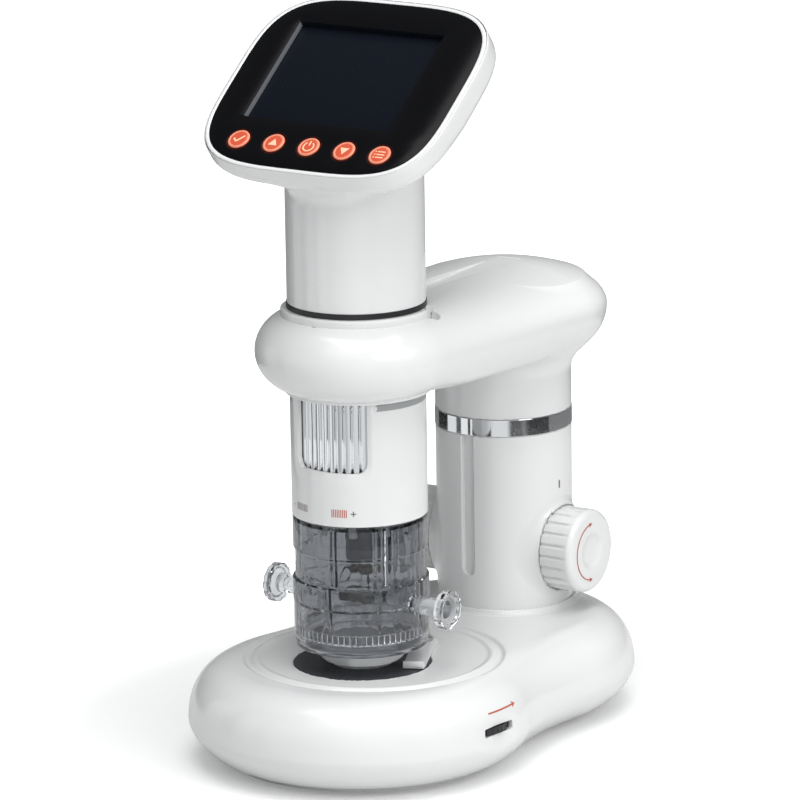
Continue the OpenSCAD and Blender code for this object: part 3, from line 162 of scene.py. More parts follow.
def fillet(points, radii, seg=5):
    """Closed polyline with rounded corners. A radius of 0 keeps a corner."""
    out = []
    n = len(points)
    for i, p in enumerate(points):
        r = radii[i] if isinstance(radii, (list, tuple)) else radii
        p = np.array(p, float)
        a = np.array(points[i - 1], float) - p
        b = np.array(points[(i + 1) % n], float) - p
        la, lb = np.linalg.norm(a), np.linalg.norm(b)
        if r <= 0 or la < 1e-9 or lb < 1e-9:
            out.append(p)
            continue
        a, b = a / la, b / lb
        half = math.acos(max(-1, min(1, float(a @ b)))) / 2
        if half > math.pi / 2 - 0.02:
            out.append(p)
            continue
        t = min(r / math.tan(half), 0.49 * la, 0.49 * lb)
        r = t * math.tan(half)
        c = p + (a + b) / np.linalg.norm(a + b) * r / math.sin(half)
        s, e = p + a * t - c, p + b * t - c
        a0 = math.atan2(s[1], s[0])
        turn = (math.atan2(e[1], e[0]) - a0 + math.pi) % (2 * math.pi) - math.pi
        for k in range(seg + 1):
            w = a0 + turn * k / seg
            out.append(c + r * np.array([math.cos(w), math.sin(w)]))
    return out


def lathe(profile, n=144, axis="z", centre=(0, 0, 0), closed=True, wave=None):
    """Turns a closed profile of (radius, along) about an axis. wave(angle, radius, along) changes a radius."""
    pts = [np.array(p, float) for p in profile]
    verts, rings = [], []
    ang = np.arange(n) * 2 * math.pi / n
    for r, a in pts:
        if r < 1e-6:
            rings.append([len(verts)])
            verts.append((0.0, 0.0, a))
        else:
            rings.append(list(range(len(verts), len(verts) + n)))
            rr = np.full(n, r) if wave is None else wave(ang, r, a)
            verts += [(rr[i] * math.cos(t), rr[i] * math.sin(t), a) for i, t in enumerate(ang)]
    faces = []
    for i in range(len(pts) if closed else len(pts) - 1):
        a, b = rings[i], rings[(i + 1) % len(pts)]
        if len(a) == 1 and len(b) == 1:
            continue
        for k in range(n):
            j = (k + 1) % n
            if len(a) == 1:
                faces.append((a[0], b[j], b[k]))
            elif len(b) == 1:
                faces.append((a[k], a[j], b[0]))
            else:
                faces.append((a[k], a[j], b[j], b[k]))
    v = np.array(verts)
    if axis == "x":
        v = v[:, [2, 1, 0]] * np.array([1, 1, -1])
    if axis == "-x":
        v = v[:, [2, 1, 0]] * np.array([-1, 1, 1])
    return v + np.array(centre, float), faces


def lathe_object(name, profile, radii=0.0, n=144, **kw):
    v, f = lathe(fillet(profile, radii) if radii is not None else profile, n, **kw)
    return shade(tidy(mesh_object(name, v, f)), 32)


# ---------------------------------------------------------------- distance fields
def round_union(a, b, r):
    return np.maximum(r, np.minimum(a, b)) - np.hypot(np.maximum(r - a, 0), np.maximum(r - b, 0))


def round_meet(a, b, r):
    return np.minimum(-r, np.maximum(a, b)) + np.hypot(np.maximum(r + a, 0), np.maximum(r + b, 0))


def round_cut(a, b, r):
    return round_meet(a, -b, r)


def gradient(sdf, p, eps=0.04):
    g = np.empty_like(p)
    for k in range(3):
        d = np.zeros(3)
        d[k] = eps
        g[:, k] = (sdf(p + d) - sdf(p - d)) / (2 * eps)
    return g


def project(sdf, p, steps, reach):
    for _ in range(steps):
        g = gradient(sdf, p)
        move = -(sdf(p) / np.maximum((g * g).sum(1), 1e-6))[:, None] * g
        size = np.linalg.norm(move, axis=1)
        p = p + move * np.minimum(1, reach / np.maximum(size, 1e-9))[:, None]
    return p


def nets(sdf, axes, warp=None, relax=2):
    """Surface of a distance field on a grid, moved onto the exact surface. Gives vertices and quads."""
    shape = tuple(len(a) for a in axes)
    grid = np.stack(np.meshgrid(*axes, indexing="ij"), -1).reshape(-1, 3)
    value = np.empty(len(grid))
    for i in range(0, len(grid), 400000):
        part = grid[i:i + 400000]
        value[i:i + 400000] = sdf(warp(part) if warp else part)
    value = value.reshape(shape)
    inside = value < 0
    cells = np.array(shape) - 1
    total = int(cells.prod())
    acc, cnt = np.zeros((total, 3)), np.zeros(total)
    edges = []
    for a in range(3):
        b, c = (a + 1) % 3, (a + 2) % 3
        lo = [slice(None)] * 3
        hi = [slice(None)] * 3
        lo[a], hi[a] = slice(0, -1), slice(1, None)
        ijk = np.argwhere(inside[tuple(lo)] != inside[tuple(hi)])
        up = ijk.copy()
        up[:, a] += 1
        v0, v1 = value[tuple(ijk.T)], value[tuple(up.T)]
        pt = ijk.astype(float)
        pt[:, a] += v0 / (v0 - v1)
        ids, ok = [], np.ones(len(ijk), bool)
        for ob, oc in ((1, 1), (0, 1), (0, 0), (1, 0)):
            cell = ijk.copy()
            cell[:, b] -= ob
            cell[:, c] -= oc
            good = (cell >= 0).all(1) & (cell < cells).all(1)
            flat = np.ravel_multi_index(np.clip(cell, 0, cells - 1).T, cells)
            cnt += np.bincount(flat[good], minlength=total)
            for k in range(3):
                acc[:, k] += np.bincount(flat[good], weights=pt[good, k], minlength=total)
            ids.append(flat)
            ok &= good
        quad = np.stack(ids, 1)[ok]
        back = ~(v0 < 0)[ok]
        quad[back] = quad[back][:, ::-1]
        edges.append(quad)
    used = cnt > 0
    index = np.full(total, -1)
    index[used] = np.arange(used.sum())
    p = acc[used] / cnt[used][:, None]
    p = np.stack([np.interp(p[:, k], np.arange(shape[k]), axes[k]) for k in range(3)], 1)
    quads = index[np.concatenate(edges)]
    if warp:
        p = warp(p)
    cell = max(float(np.median(np.diff(a))) for a in axes)
    p = project(sdf, p, 2, cell)
    for _ in range(relax):
        mid = p[quads].mean(1)
        s, n = np.zeros_like(p), np.zeros(len(p))
        for k in range(4):
            n += np.bincount(quads[:, k], minlength=len(p))
            for j in range(3):
                s[:, j] += np.bincount(quads[:, k], weights=mid[:, j], minlength=len(p))
        live = n > 0
        p[live] = 0.45 * p[live] + 0.55 * s[live] / n[live][:, None]
        p = project(sdf, p, 2, cell)
    return p, quads


def to_tube(ob):
    """Vertices of an object in millimetres in the tube frame."""
    co = np.empty(len(ob.data.vertices) * 3, np.float32)
    ob.data.vertices.foreach_get("co", co)
    return co.reshape(-1, 3).astype(float) / MM - np.array([0, TUBE_Y, 0])


def exact_normals(ob, sdf, limit=0.82):
    """Shades by the field's own slope wherever a face lies along it, and flat elsewhere."""
    me = ob.data
    g = gradient(sdf, to_tube(ob))
    g /= np.maximum(np.linalg.norm(g, axis=1), 1e-9)[:, None]
    n_loop = len(me.loops)
    vi = np.empty(n_loop, np.int32)
    me.loops.foreach_get("vertex_index", vi)
    starts = np.empty(len(me.polygons), np.int32)
    totals = np.empty(len(me.polygons), np.int32)
    me.polygons.foreach_get("loop_start", starts)
    me.polygons.foreach_get("loop_total", totals)
    fn = np.empty(len(me.polygons) * 3, np.float32)
    me.polygons.foreach_get("normal", fn)
    fn = np.repeat(fn.reshape(-1, 3).astype(float), totals, axis=0)
    order = np.concatenate([np.arange(s, s + t) for s, t in zip(starts, totals)]) if len(set(totals)) > 1 \
        else (starts[:, None] + np.arange(totals[0])).ravel()
    out = np.empty((n_loop, 3))
    gl = g[vi[order]]
    near = (gl * fn).sum(1) > limit
    out[order] = np.where(near[:, None], gl, fn)
    me.shade_smooth()
    me.normals_split_custom_set([tuple(v) for v in out])
    return ob


def steps(lo, hi, size):
    return np.linspace(lo, hi, max(2, int(round((hi - lo) / size)) + 1))


# ---------------------------------------------------------------- materials
def new_material(name):
    m = bpy.data.materials.new(name)
    m.use_nodes = True
    nt = m.node_tree
    nt.nodes.clear()
    out = nt.nodes.new("ShaderNodeOutputMaterial")
    bsdf = nt.nodes.new("ShaderNodeBsdfPrincipled")
    nt.links.new(bsdf.outputs[0], out.inputs[0])
    return m, nt, bsdf


def noise(nt, scale, detail=3.0, rough=0.5, stretch=None):
    tex = nt.nodes.new("ShaderNodeTexNoise")
    tex.inputs["Scale"].default_value = scale
    tex.inputs["Detail"].default_value = detail
    tex.inputs["Roughness"].default_value = rough
    tc = nt.nodes.new("ShaderNodeTexCoord")
    if stretch:
        mp = nt.nodes.new("ShaderNodeMapping")
        mp.inputs["Scale"].default_value = stretch
        nt.links.new(tc.outputs["Object"], mp.inputs["Vector"])
        nt.links.new(mp.outputs[0], tex.inputs["Vector"])
    else:
        nt.links.new(tc.outputs["Object"], tex.inputs["Vector"])
    return tex


def spread(nt, source, lo, hi):
    mr = nt.nodes.new("ShaderNodeMapRange")
    mr.inputs["From Min"].default_value = 0.3
    mr.inputs["From Max"].default_value = 0.7
    mr.inputs["To Min"].default_value = lo
    mr.inputs["To Max"].default_value = hi
    nt.links.new(source, mr.inputs["Value"])
    return mr.outputs[0]


def tint(nt, source, a, b):
    mix = nt.nodes.new("ShaderNodeMix")
    mix.data_type = "RGBA"
    mix.inputs[6].default_value = (*a, 1)
    mix.inputs[7].default_value = (*b, 1)
    nt.links.new(source, mix.inputs[0])
    return mix.outputs[2]


def surface(name, color, rough, vary=0.03, rough_vary=0.05, grain=None, metal=0.0, coat=0.0,
    coat_rough=0.05,
            patch=60.0, stretch=None, ior=None, spec=None):
    """A solid material: colour and roughness drift in soft patches, with a fine grain as relief."""
    m, nt, bsdf = new_material(name)
    soft = noise(nt, patch, 4.0)
    fine = noise(nt, patch * 22, 2.0, stretch=stretch)
    dark = tuple(c * (1 - vary) for c in color)
    nt.links.new(tint(nt, soft.outputs[0], color, dark), bsdf.inputs["Base Color"])
    nt.links.new(spread(nt, fine.outputs[0], max(0.0, rough - rough_vary), rough + rough_vary),
                 bsdf.inputs["Roughness"])
    bsdf.inputs["Metallic"].default_value = metal
    bsdf.inputs["Coat Weight"].default_value = coat
    bsdf.inputs["Coat Roughness"].default_value = coat_rough
    if ior:
        bsdf.inputs["IOR"].default_value = ior
    if spec is not None:
        bsdf.inputs["Specular IOR Level"].default_value = spec
    if grain:
        tex = noise(nt, grain[0], 3.0, 0.6, stretch)
        bump = nt.nodes.new("ShaderNodeBump")
        bump.inputs["Strength"].default_value = grain[1]
        bump.inputs["Distance"].default_value = grain[2]
        nt.links.new(tex.outputs[0], bump.inputs["Height"])
        nt.links.new(bump.outputs[0], bsdf.inputs["Normal"])
    return m


def clear(name, color, rough=0.0, ior=1.49, ripple=0.0, through=1.0):
    m, nt, bsdf = new_material(name)
    tex = noise(nt, 90.0, 3.0)
    nt.links.new(tint(nt, tex.outputs[0], color, tuple(c * 0.96 for c in color)), bsdf.inputs["Base Color"])
    bsdf.inputs["Transmission Weight"].default_value = through
    bsdf.inputs["IOR"].default_value = ior
    nt.links.new(spread(nt, noise(nt, 900.0).outputs[0], max(0, rough - 0.01), rough + 0.012),
        bsdf.inputs["Roughness"])
    if ripple:
        bump = nt.nodes.new("ShaderNodeBump")
        bump.inputs["Strength"].default_value = ripple
        bump.inputs["Distance"].default_value = 0.0004
        nt.links.new(noise(nt, 160.0, 2.0).outputs[0], bump.inputs["Height"])
        nt.links.new(bump.outputs[0], bsdf.inputs["Normal"])
    return m


WHITE = (0.80, 0.80, 0.80)
MAT = {
    "white": surface("white_gloss_moulding", WHITE, 0.24, 0.012, 0.03, (900.0, 0.05, 0.00006), coat=0.35,
                     coat_rough=0.06, patch=35.0),
    "satin": surface("white_satin_moulding", (0.79, 0.80, 0.80), 0.38, 0.015, 0.04,
        (2600.0, 0.12, 0.00005)),
    "light_grey": surface("light_grey_moulding", (0.62, 0.63, 0.64), 0.5, 0.03, 0.05,
        (3000.0, 0.25, 0.00008)),
    "grey": surface("grey_moulding", (0.33, 0.34, 0.35), 0.5, 0.04, 0.05, (3000.0, 0.2, 0.00006)),
    "black": surface("black_moulding", (0.018, 0.018, 0.02), 0.42, 0.2, 0.06, (3000.0, 0.2, 0.00006)),
    "gloss_black": surface("black_face", (0.0035, 0.0035, 0.0045), 0.2, 0.2, 0.03, (700.0, 0.02, 0.00003),
                           spec=0.12),
    "screen": surface("screen_off", (0.0062, 0.0078, 0.0125), 0.25, 0.04, 0.03, None, spec=0.06),
    "well_dark": surface("screen_well_wall", (0.006, 0.006, 0.007), 0.35, 0.1, 0.04, None, spec=0.2),
    # painted light: a lighter grey copy of the well's dark wall, for the wall that faces the lamps
    "well_wall_painted_light": surface("screen_well_wall_painted_light", (0.17, 0.18, 0.2), 0.3, 0.1, 0.04, None),
    # painted glow: a dim red on the black face's key-hole edges stands for light from the orange keys
    "key_edge_painted_glow": surface("key_hole_edge_painted_glow", (0.035, 0.001, 0.001), 0.5, 0.1, 0.04, None, spec=0.1),
    "orange": surface("key_orange", (0.66, 0.085, 0.032), 0.42, 0.06, 0.05, (1500.0, 0.1, 0.00005)),
    # painted highlight: a paler copy of the key orange for the raised rim of each key
    "key_rim_painted_highlight": surface("key_rim_painted_highlight", (0.86, 0.30, 0.18), 0.38, 0.05, 0.05, None),
    "key_mark": surface("key_mark", (0.95, 0.62, 0.40), 0.45, 0.03, 0.04, None),
    "chrome": surface("chrome_plate", (0.86, 0.87, 0.89), 0.07, 0.02, 0.03, (1200.0, 0.02, 0.00002),
        metal=1.0),
    "steel": surface("zinc_steel", (0.55, 0.55, 0.57), 0.32, 0.08, 0.08, (2600.0, 0.15, 0.00003),
        metal=1.0),
    "alu": surface("drawn_aluminium", (0.62, 0.63, 0.65), 0.34, 0.05, 0.06, (900.0, 0.2, 0.00003),
        metal=1.0,
                   stretch=(1, 1, 0.05)),
    "brass": surface("machined_brass", (0.72, 0.52, 0.2), 0.3, 0.08, 0.06, (1600.0, 0.1, 0.00003),
        metal=1.0),
    "rubber": surface("black_rubber", (0.02, 0.02, 0.02), 0.75, 0.2, 0.08, (2600.0, 0.4, 0.0001)),
    "frosted": surface("frosted_diffuser", (0.85, 0.85, 0.82), 0.55, 0.02, 0.04, (2600.0, 0.2, 0.00005)),
    "stage": surface("stage_disc", (0.030, 0.032, 0.038), 0.42, 0.15, 0.06, (2800.0, 0.25, 0.00006)),
    "board": surface("circuit_board", (0.02, 0.12, 0.06), 0.35, 0.2, 0.08, (1800.0, 0.2, 0.00006)),
    "silicone": surface("silicone", (0.55, 0.55, 0.55), 0.6, 0.04, 0.04, None),
    "cell": surface("cell_wrap", (0.08, 0.13, 0.05), 0.35, 0.1, 0.05, None),
    "print_grey": surface("print_grey", (0.19, 0.15, 0.14), 0.5, 0.1, 0.05, None),
    "print_red": surface("print_red", (0.50, 0.12, 0.07), 0.5, 0.1, 0.05, None),
    "beetle": surface("dried_beetle", (0.035, 0.016, 0.008), 0.35, 0.5, 0.12, (1400.0, 0.6, 0.0003),
        patch=300.0),
    "leg": surface("beetle_leg", (0.012, 0.008, 0.006), 0.4, 0.4, 0.1, (1400.0, 0.5, 0.0002), patch=300.0),
    "clear": clear("clear_moulding", (0.93, 0.95, 0.97), 0.012, 1.49, 0.12),
    # painted shade: the clear chamber wall gets a grey tint that stands for its dark, unlit inside
    "chamber_shade_tint": clear("chamber_moulding_painted_shade_tint", (0.49, 0.505, 0.53), 0.01, 1.49, 0.5),
    "snout": surface("dark_bright_turned_barrel", (0.10, 0.105, 0.12), 0.14, 0.1, 0.05,
        (900.0, 0.1, 0.00003), metal=1.0,
                     stretch=(1, 1, 0.05)),
    "tray": surface("dark_smoky_tray", (0.015, 0.018, 0.018), 0.18, 0.2, 0.05,
        (900.0, 0.1, 0.00004), coat=0.5),
    "clear_lens": clear("clear_lens", (0.90, 0.92, 0.93), 0.12, 1.49, 0.05, 0.62),
    "glass": clear("objective_glass", (0.9, 0.95, 0.97), 0.01, 1.52),
}


# ---------------------------------------------------------------- lobed bodies
def outline_distance(x, y, r1, r2, d, waist):
    """Distance to two lobes joined by hollow fillets, negative inside."""
    along = (d * d + (r1 + waist) ** 2 - (r2 + waist) ** 2) / (2 * d)
    across = math.sqrt((r1 + waist) ** 2 - along ** 2)
    ax = np.abs(x)
    vx, vy = ax - across, y - along
    c1, c2 = (-across, -along), (-across, d - along)
    between = (c1[0] * vy - c1[1] * vx <= 0) & (vx * c2[1] - vy * c2[0] <= 0)
    return np.where(between, waist - np.hypot(vx, vy),
                    np.minimum(np.hypot(ax, y) - r1, np.hypot(ax, y - d) - r2))


def conic(a, b, w):
    """Scale of a conic arc of weight w from (1, 0) to (0, 1) that passes through (a, b)."""
    k = a + b
    p, q = 1 - 4 * w * w, -k * (2 - 4 * w * w)
    r = k * k - 4 * w * w * a * b
    return 2 * r / np.maximum(np.sqrt(np.maximum(q * q - 4 * p * r, 0)) - q, 1e-9)


def shoulder(d2, up, inset, height, w):
    """Distance to a rounded shoulder that leaves the outline at up = 0 and ends flat at up = height."""
    a, b, e = np.maximum(1e-6, 1 + d2 / inset), np.maximum(1e-6, up / height), 1e-4
    s = conic(a, b, w)
    ga, gb = (conic(a + e, b, w) - s) / e, (conic(a, b + e, w) - s) / e
    return (s - 1) / np.maximum(np.hypot(ga / inset, gb / height), 1e-6)


def base_body(p):
    x, y, z = p.T
    d2 = outline_distance(x, y, BASE["r1"], BASE["r2"], BASE["d"], BASE["waist"])
    up = shoulder(d2, z - BASE["belly"], BASE["top_in"], BASE["top"] - BASE["belly"], 0.85)
    low = shoulder(d2, BASE["belly"] - z, BASE["low_in"], BASE["belly"] - BASE["rim"], 0.351)
    return round_meet(np.where(z > BASE["belly"], up, low), BASE["rim"] - z, 0.4)


DIAL_AZ = math.radians(85.0)
DIAL_DIR = np.array([math.sin(DIAL_AZ), -math.cos(DIAL_AZ), 0.0])
DIAL_SIDE = np.array([math.cos(DIAL_AZ), math.sin(DIAL_AZ), 0.0])
DIAL_Z = 19.5


def base_field(p):
    x, y, z = p.T
    f = base_body(p)
    rt, rc = np.hypot(x, y), np.hypot(x, y - COL_Y)
    # raised seat round the column, with a hollow flare
    seat = round_meet(rc - (COL_R + 0.9), z - 36.4, 0.45)
    f = round_union(f, seat, 2.2)
    # ring groove, the slightly lower field inside it, and the stage's recess
    rr = np.hypot(x, y - RING_Y)
    f = round_cut(f, round_meet(rr - RING_R + 0.6, 34.15 - z, 0.35), 0.9)
    bead = np.hypot(rr - RING_R + 2.9, (z - 33.6) * 1.15) - 1.3
    f = round_union(f, bead, 0.9)
    f = round_cut(f, np.hypot(rr - RING_R, z - 34.9) - 1.5, 0.6)
    f = round_cut(f, np.maximum(rt - (STAGE_R + 0.1), 32.2 - z), 0.25)
    # column socket
    f = np.maximum(f, -np.maximum(rc - (COL_R - 0.3), 11.0 - z))
    # shallow dish round the dial's slot
    out = p @ DIAL_DIR
    side = p @ DIAL_SIDE
    dish = np.sqrt((side / 18.6) ** 2 + ((z - 19.4) / 9.4) ** 2 + ((out - 64.6) / 5.0) ** 2)
    dish = (dish - 1) * 5.0
    return round_cut(f, dish, 1.1)


def build_base():
    v, q = nets(base_field, [steps(-63, 63, 0.85), steps(-63.2, 132.4, 0.85), steps(1.3, 37.6, 0.8)])
    ob = mesh_object("base_housing", v, q)
    # the dial's slot and the pocket that takes the dial
    slot = fillet([(-7.8, -1.6), (7.8, -1.6), (7.8, 1.6), (-7.8, 1.6)], 0.7, 4)
    verts, faces = prism([(a, b) for a, b in slot], 52.0, 66.0)
    verts = [DIAL_SIDE * a + DIAL_DIR * w + np.array([0, 0, DIAL_Z + b]) for a, b, w in verts]
    tool = tidy(mesh_object("slot_tool", verts, faces))
    cut(ob, tool)
    v2, f2 = lathe([(0, -1.6), (12.4, -1.6), (12.4, 1.6), (0, 1.6)], 96,
                   centre=DIAL_DIR * 48.7 + np.array([0, 0, DIAL_Z]))
    cut(ob, tidy(mesh_object("pocket_tool", v2, f2)))
    exact_normals(ob, base_field)
    return dress(ob, MAT["white"], "stand", ["base_shell"])


def prism(loop, lo, hi):
    """A closed prism over a loop of (a, b), as (a, b, w) vertices."""
    n = len(loop)
    verts = [(a, b, lo) for a, b in loop] + [(a, b, hi) for a, b in loop]
    faces = [(i, (i + 1) % n, n + (i + 1) % n, n + i) for i in range(n)]
    return verts, faces + [tuple(range(n))[::-1], tuple(range(n, 2 * n))]


# ---------------------------------------------------------------- column
def column_field(p):
    x, y, z = p.T
    y = y - COL_Y
    rc = np.hypot(x, y)
    tube = np.maximum(np.maximum(rc - COL_R, z - COL_TOP), 12.0 - z)
    # the groove down the front, with a round lower end
    half = 2.35
    low = 48.4 + half
    d = np.where(z < low, np.hypot(x, z - low), np.abs(x)) - half
    groove = np.maximum(d, 23.35 - rc)
    groove = np.where(y < 0, groove, 9.0)
    tube = round_cut(tube, groove, 0.3)
    # hollow flares that carry the knobs, and the flats that the knobs run against
    boss = np.maximum(np.hypot(y, z - SHAFT_Z) - 14.4, np.abs(x) - 23.7)
    f = round_union(tube, boss, 5.0)
    flat = np.maximum(np.hypot(y, z - SHAFT_Z) - (KNOB_R + 0.5), 23.7 - np.abs(x))
    f = np.maximum(f, -flat)
    return np.maximum(f, 22.2 - rc)


def build_column():
    v, q = nets(column_field, [steps(-27, 27, 0.6), steps(COL_Y - 26, COL_Y + 26, 0.6),
        steps(11, 102, 0.7)])
    ob = mesh_object("column_housing", v, q)
    exact_normals(ob, column_field)
    return dress(ob, MAT["white"], "stand", ["column_tube"])


# ---------------------------------------------------------------- arm
def arm_field(p):
    x, y, z = p.T
    k = np.clip(y / COL_Y, 0, 1)
    k = k * k * (3 - 2 * k) * 0.5 + k * 0.5
    d2 = outline_distance(x, y, 35.7, 37.8, COL_Y, 3000.0)
    mid = 146.85 + (144.25 - 146.85) * k
    top = ARM_TOP + (ARM_REAR_TOP - ARM_TOP) * k
    low = ARM_LOW + (ARM_REAR_LOW - ARM_LOW) * k
    inset_top = 16.2 + (37.0 - 16.2) * k
    near = np.clip((30 - y) / 26, 0, 1)
    low = low + 1.6 * near * near * (3 - 2 * near)
    inset_low = 16.2 + (11.5 - 16.2) * k
    up = shoulder(d2, z - mid, inset_top, top - mid, 0.71)
    dn = shoulder(d2, mid - z, inset_low, mid - low, 0.707 - 0.09 * k)
    f = np.where(z > mid, up, dn)
    rc, rt = np.hypot(x, y - COL_Y), np.hypot(x, y)
    neck = np.maximum(np.maximum(rc - COL_R, 106.85 - z), z - 150.0)
    f = round_union(f, neck, 9.0)
    # the shallow channel along the top
    deep = 1.75 * np.clip((99.0 - y) / 66.0, 0, 1) ** 0.75
    floor = top - deep
    wide = np.abs(x) - 4.6
    channel = np.maximum(np.maximum(wide, floor - z), np.maximum(24.0 - y, y - 99.0))
    f = round_cut(f, channel, 0.4)
    # bore of the collar, seat of its liner, and the small scooped notch beside it
    f = np.maximum(f, -(rt - LINER_R))
    lip = np.maximum(rt - 26.3, 159.5 - z)
    f = np.maximum(f, -lip)
    notch = np.maximum(np.hypot(x - NOTCH[0], y - NOTCH[1]) - NOTCH_R, 157.2 - z)
    f = round_cut(f, notch, 0.35)
    return np.maximum(f, -np.maximum(rc - 21.3, z - 140.6))


def build_arm():
    v, q = nets(arm_field, [steps(-38.6, 38.6, 0.75), steps(-36.6, 132.6, 0.75), steps(105.5, 162.5, 0.7)])
    ob = mesh_object("arm_housing", v, q)
    exact_normals(ob, arm_field)
    return dress(ob, MAT["white"], "arm", ["arm_shell"])


def build_collar():
    prof = [(LINER_BORE, 132.4), (LINER_R - 0.02, 132.4), (LINER_R - 0.02, 159.55), (26.5, 159.55),
            (26.5, 161.9), (25.9, 162.3), (LINER_BORE, 162.3)]
    ob = lathe_object("collar_lining", prof, [0.4, 0.4, 0, 0.2, 0.5, 0.3, 0.3], 180)
    v, f = lathe([(0, 157.2), (NOTCH_R, 157.2), (NOTCH_R, 165), (0, 165)], 72, centre=(*NOTCH, 0))
    cut(ob, tidy(mesh_object("notch_tool", v, f)))
    shade(ob, 32)
    return dress(ob, MAT["white"], "arm", ["collar_liner"])


# ---------------------------------------------------------------- barrel
def cylinder_warp(p):
    a = p[:, 0]
    return np.stack([p[:, 2] * np.sin(a), -p[:, 2] * np.cos(a), p[:, 1]], 1)


WIN_A, WIN_B = math.radians(-32.0), math.radians(41.0)
WIN_MID, WIN_HALF = (WIN_A + WIN_B) / 2, (WIN_B - WIN_A) / 2 * BARREL_R
WIN_Z = 107.4


def window_distance(ang, z, r=4.0):
    s = np.abs(ang - WIN_MID) * BARREL_R - WIN_HALF + r
    t = np.maximum(WIN_Z - z, z - 141.4) + r
    return np.hypot(np.maximum(s, 0), np.maximum(t, 0)) + np.minimum(np.maximum(s, t), 0) - r


def barrel_field(p):
    x, y, z = p.T
    r = np.hypot(x, y)
    ang = np.arctan2(x, -y)
    f = np.maximum(r - BARREL_R, BARREL_BORE - r)
    f = np.maximum(f, 88.6 - z)
    d = window_distance(ang, z)
    f = round_cut(f, np.maximum(d, 18.0 - r), 0.25)
    # bevelled border of the window, wider below the sill
    below = np.clip((WIN_Z + 2 - z) / 4.0, 0, 1)
    wide = 1.7 + 1.7 * below
    border = (r - 23.0) - 0.8 * np.maximum(d, 0) / wide
    f = round_cut(f, np.maximum(-border, d - 6), 0.18)
    # groove round the barrel under the arm, which stops at the window's border: a real step, and the grey
    # lower ring that shows in it is painted shade of the gap below the arm's collar
    strip = np.maximum(np.abs(z - 130.7) - 1.15, 23.2 - r)
    strip = np.maximum(strip, 3.7 - d)
    return np.maximum(f, -strip)


def build_barrel():
    da = math.radians(1.35)
    ang = np.arange(-math.pi, math.pi + 1.5 * da, da)
    ang = np.linspace(-math.pi, math.pi, 268)
    ang = np.append(ang, ang[-1] + (ang[1] - ang[0]))
    v, q = nets(barrel_field, [ang, steps(87.9, 163.6, 0.5), steps(20.9, 24.4, 0.3)], cylinder_warp, 1)
    ob = mesh_object("barrel_housing", v, q)
    tidy(ob, 2e-6, False)
    exact_normals(ob, barrel_field, 0.75)
    # shelves and the inner spigot, which the window shows a little of
    parts = [ob]
    for prof in ([(21.45, 102.8), (18.9, 102.8), (18.9, 104.2), (21.45, 104.2)],
                 [(21.45, 91.6), (18.0, 91.6), (18.0, 93.0), (21.45, 93.0)],
                 [(21.8, 158.3), (20.3, 158.3), (20.3, 172.2), (21.8, 172.2)]):
        parts.append(lathe_object("shelf", prof, 0.2, 120))
    ob = join("barrel_housing", parts)
    return dress(ob, MAT["white"], "tube_unit", ["barrel_sleeve"])


# ---------------------------------------------------------------- screen head
FACE_U = np.array([1.0, 0, 0])
FACE_V = np.array([0, math.cos(TILT), math.sin(TILT)])
FACE_W = np.array([0, -math.sin(TILT), math.cos(TILT)])
FACE_O = np.array([0, FACE_Y, FACE_Z])


def from_face(u, v, w):
    return FACE_O + np.outer(u, FACE_U) + np.outer(v, FACE_V) + np.outer(w, FACE_W)


def face_warp(p):
    return FACE_O + p @ np.stack([FACE_U, FACE_V, FACE_W])


def face_distance(u, v):
    """Distance to the outline of the black face, negative inside."""
    a, b = np.abs(u / FACE_A), np.abs(v / FACE_B)
    s = np.maximum(a ** FACE_N + b ** FACE_N, 1e-12) ** (1 / FACE_N)
    g = np.hypot((a / s) ** (FACE_N - 1) / FACE_A, (b / s) ** (FACE_N - 1) / FACE_B)
    return (s - 1) / np.maximum(g, 1e-6)


def face_loop(offset, n=288):
    """Points where that distance has one value, all at even steps round the outline."""
    t = np.linspace(0, 2 * math.pi, 4001)[:-1]
    c, s = np.cos(t), np.sin(t)
    u = FACE_A * np.sign(c) * np.abs(c) ** (2 / FACE_N)
    v = FACE_B * np.sign(s) * np.abs(s) ** (2 / FACE_N)
    length = np.hypot(np.diff(np.append(u, u[0])), np.diff(np.append(v, v[0])))
    run = np.concatenate([[0], np.cumsum(length)])
    at = np.linspace(0, run[-1], n + 1)[:-1]
    u, v = np.interp(at, run, np.append(u, u[0])), np.interp(at, run, np.append(v, v[0]))
    for _ in range(8):
        f = face_distance(u, v) - offset
        e = 0.01
        gu = (face_distance(u + e, v) - face_distance(u - e, v)) / (2 * e)
        gv = (face_distance(u, v + e) - face_distance(u, v - e)) / (2 * e)
        g2 = gu * gu + gv * gv
        u, v = u - f * gu / g2, v - f * gv / g2
    return u, v


def sweep_face(name, profile, n=288, closed=True):
    """A band that runs round the face. The profile is a list of (offset, w)."""
    verts, faces = [], []
    for off, w in profile:
        u, v = face_loop(off, n)
        verts.append(from_face(u, v, np.full(n, w)))
    verts = np.concatenate(verts)
    m = len(profile)
    for i in range(m if closed else m - 1):
        a, b = i * n, ((i + 1) % m) * n
        faces += [(a + k, a + (k + 1) % n, b + (k + 1) % n, b + k) for k in range(n)]
    return mesh_object(name, verts, faces)


def head_field(p):
    q = (p - FACE_O)
    u, v, w = q @ FACE_U, q @ FACE_V, q @ FACE_W
    d = face_distance(u, v) - 2.2
    # the housing is a little shallower along its lower rim
    lower = np.clip((-v - 4) / 22, 0, 1)
    deep = 12 - 2.6 * lower * np.clip(1 + d / 5.5, 0, 1)
    slab = round_meet(d, -(w + deep), 4.6)
    r = np.hypot(p[:, 0], p[:, 1])
    neck = np.maximum(r - NECK_R, w + 6.0)
    return round_union(slab, neck, 10.0)


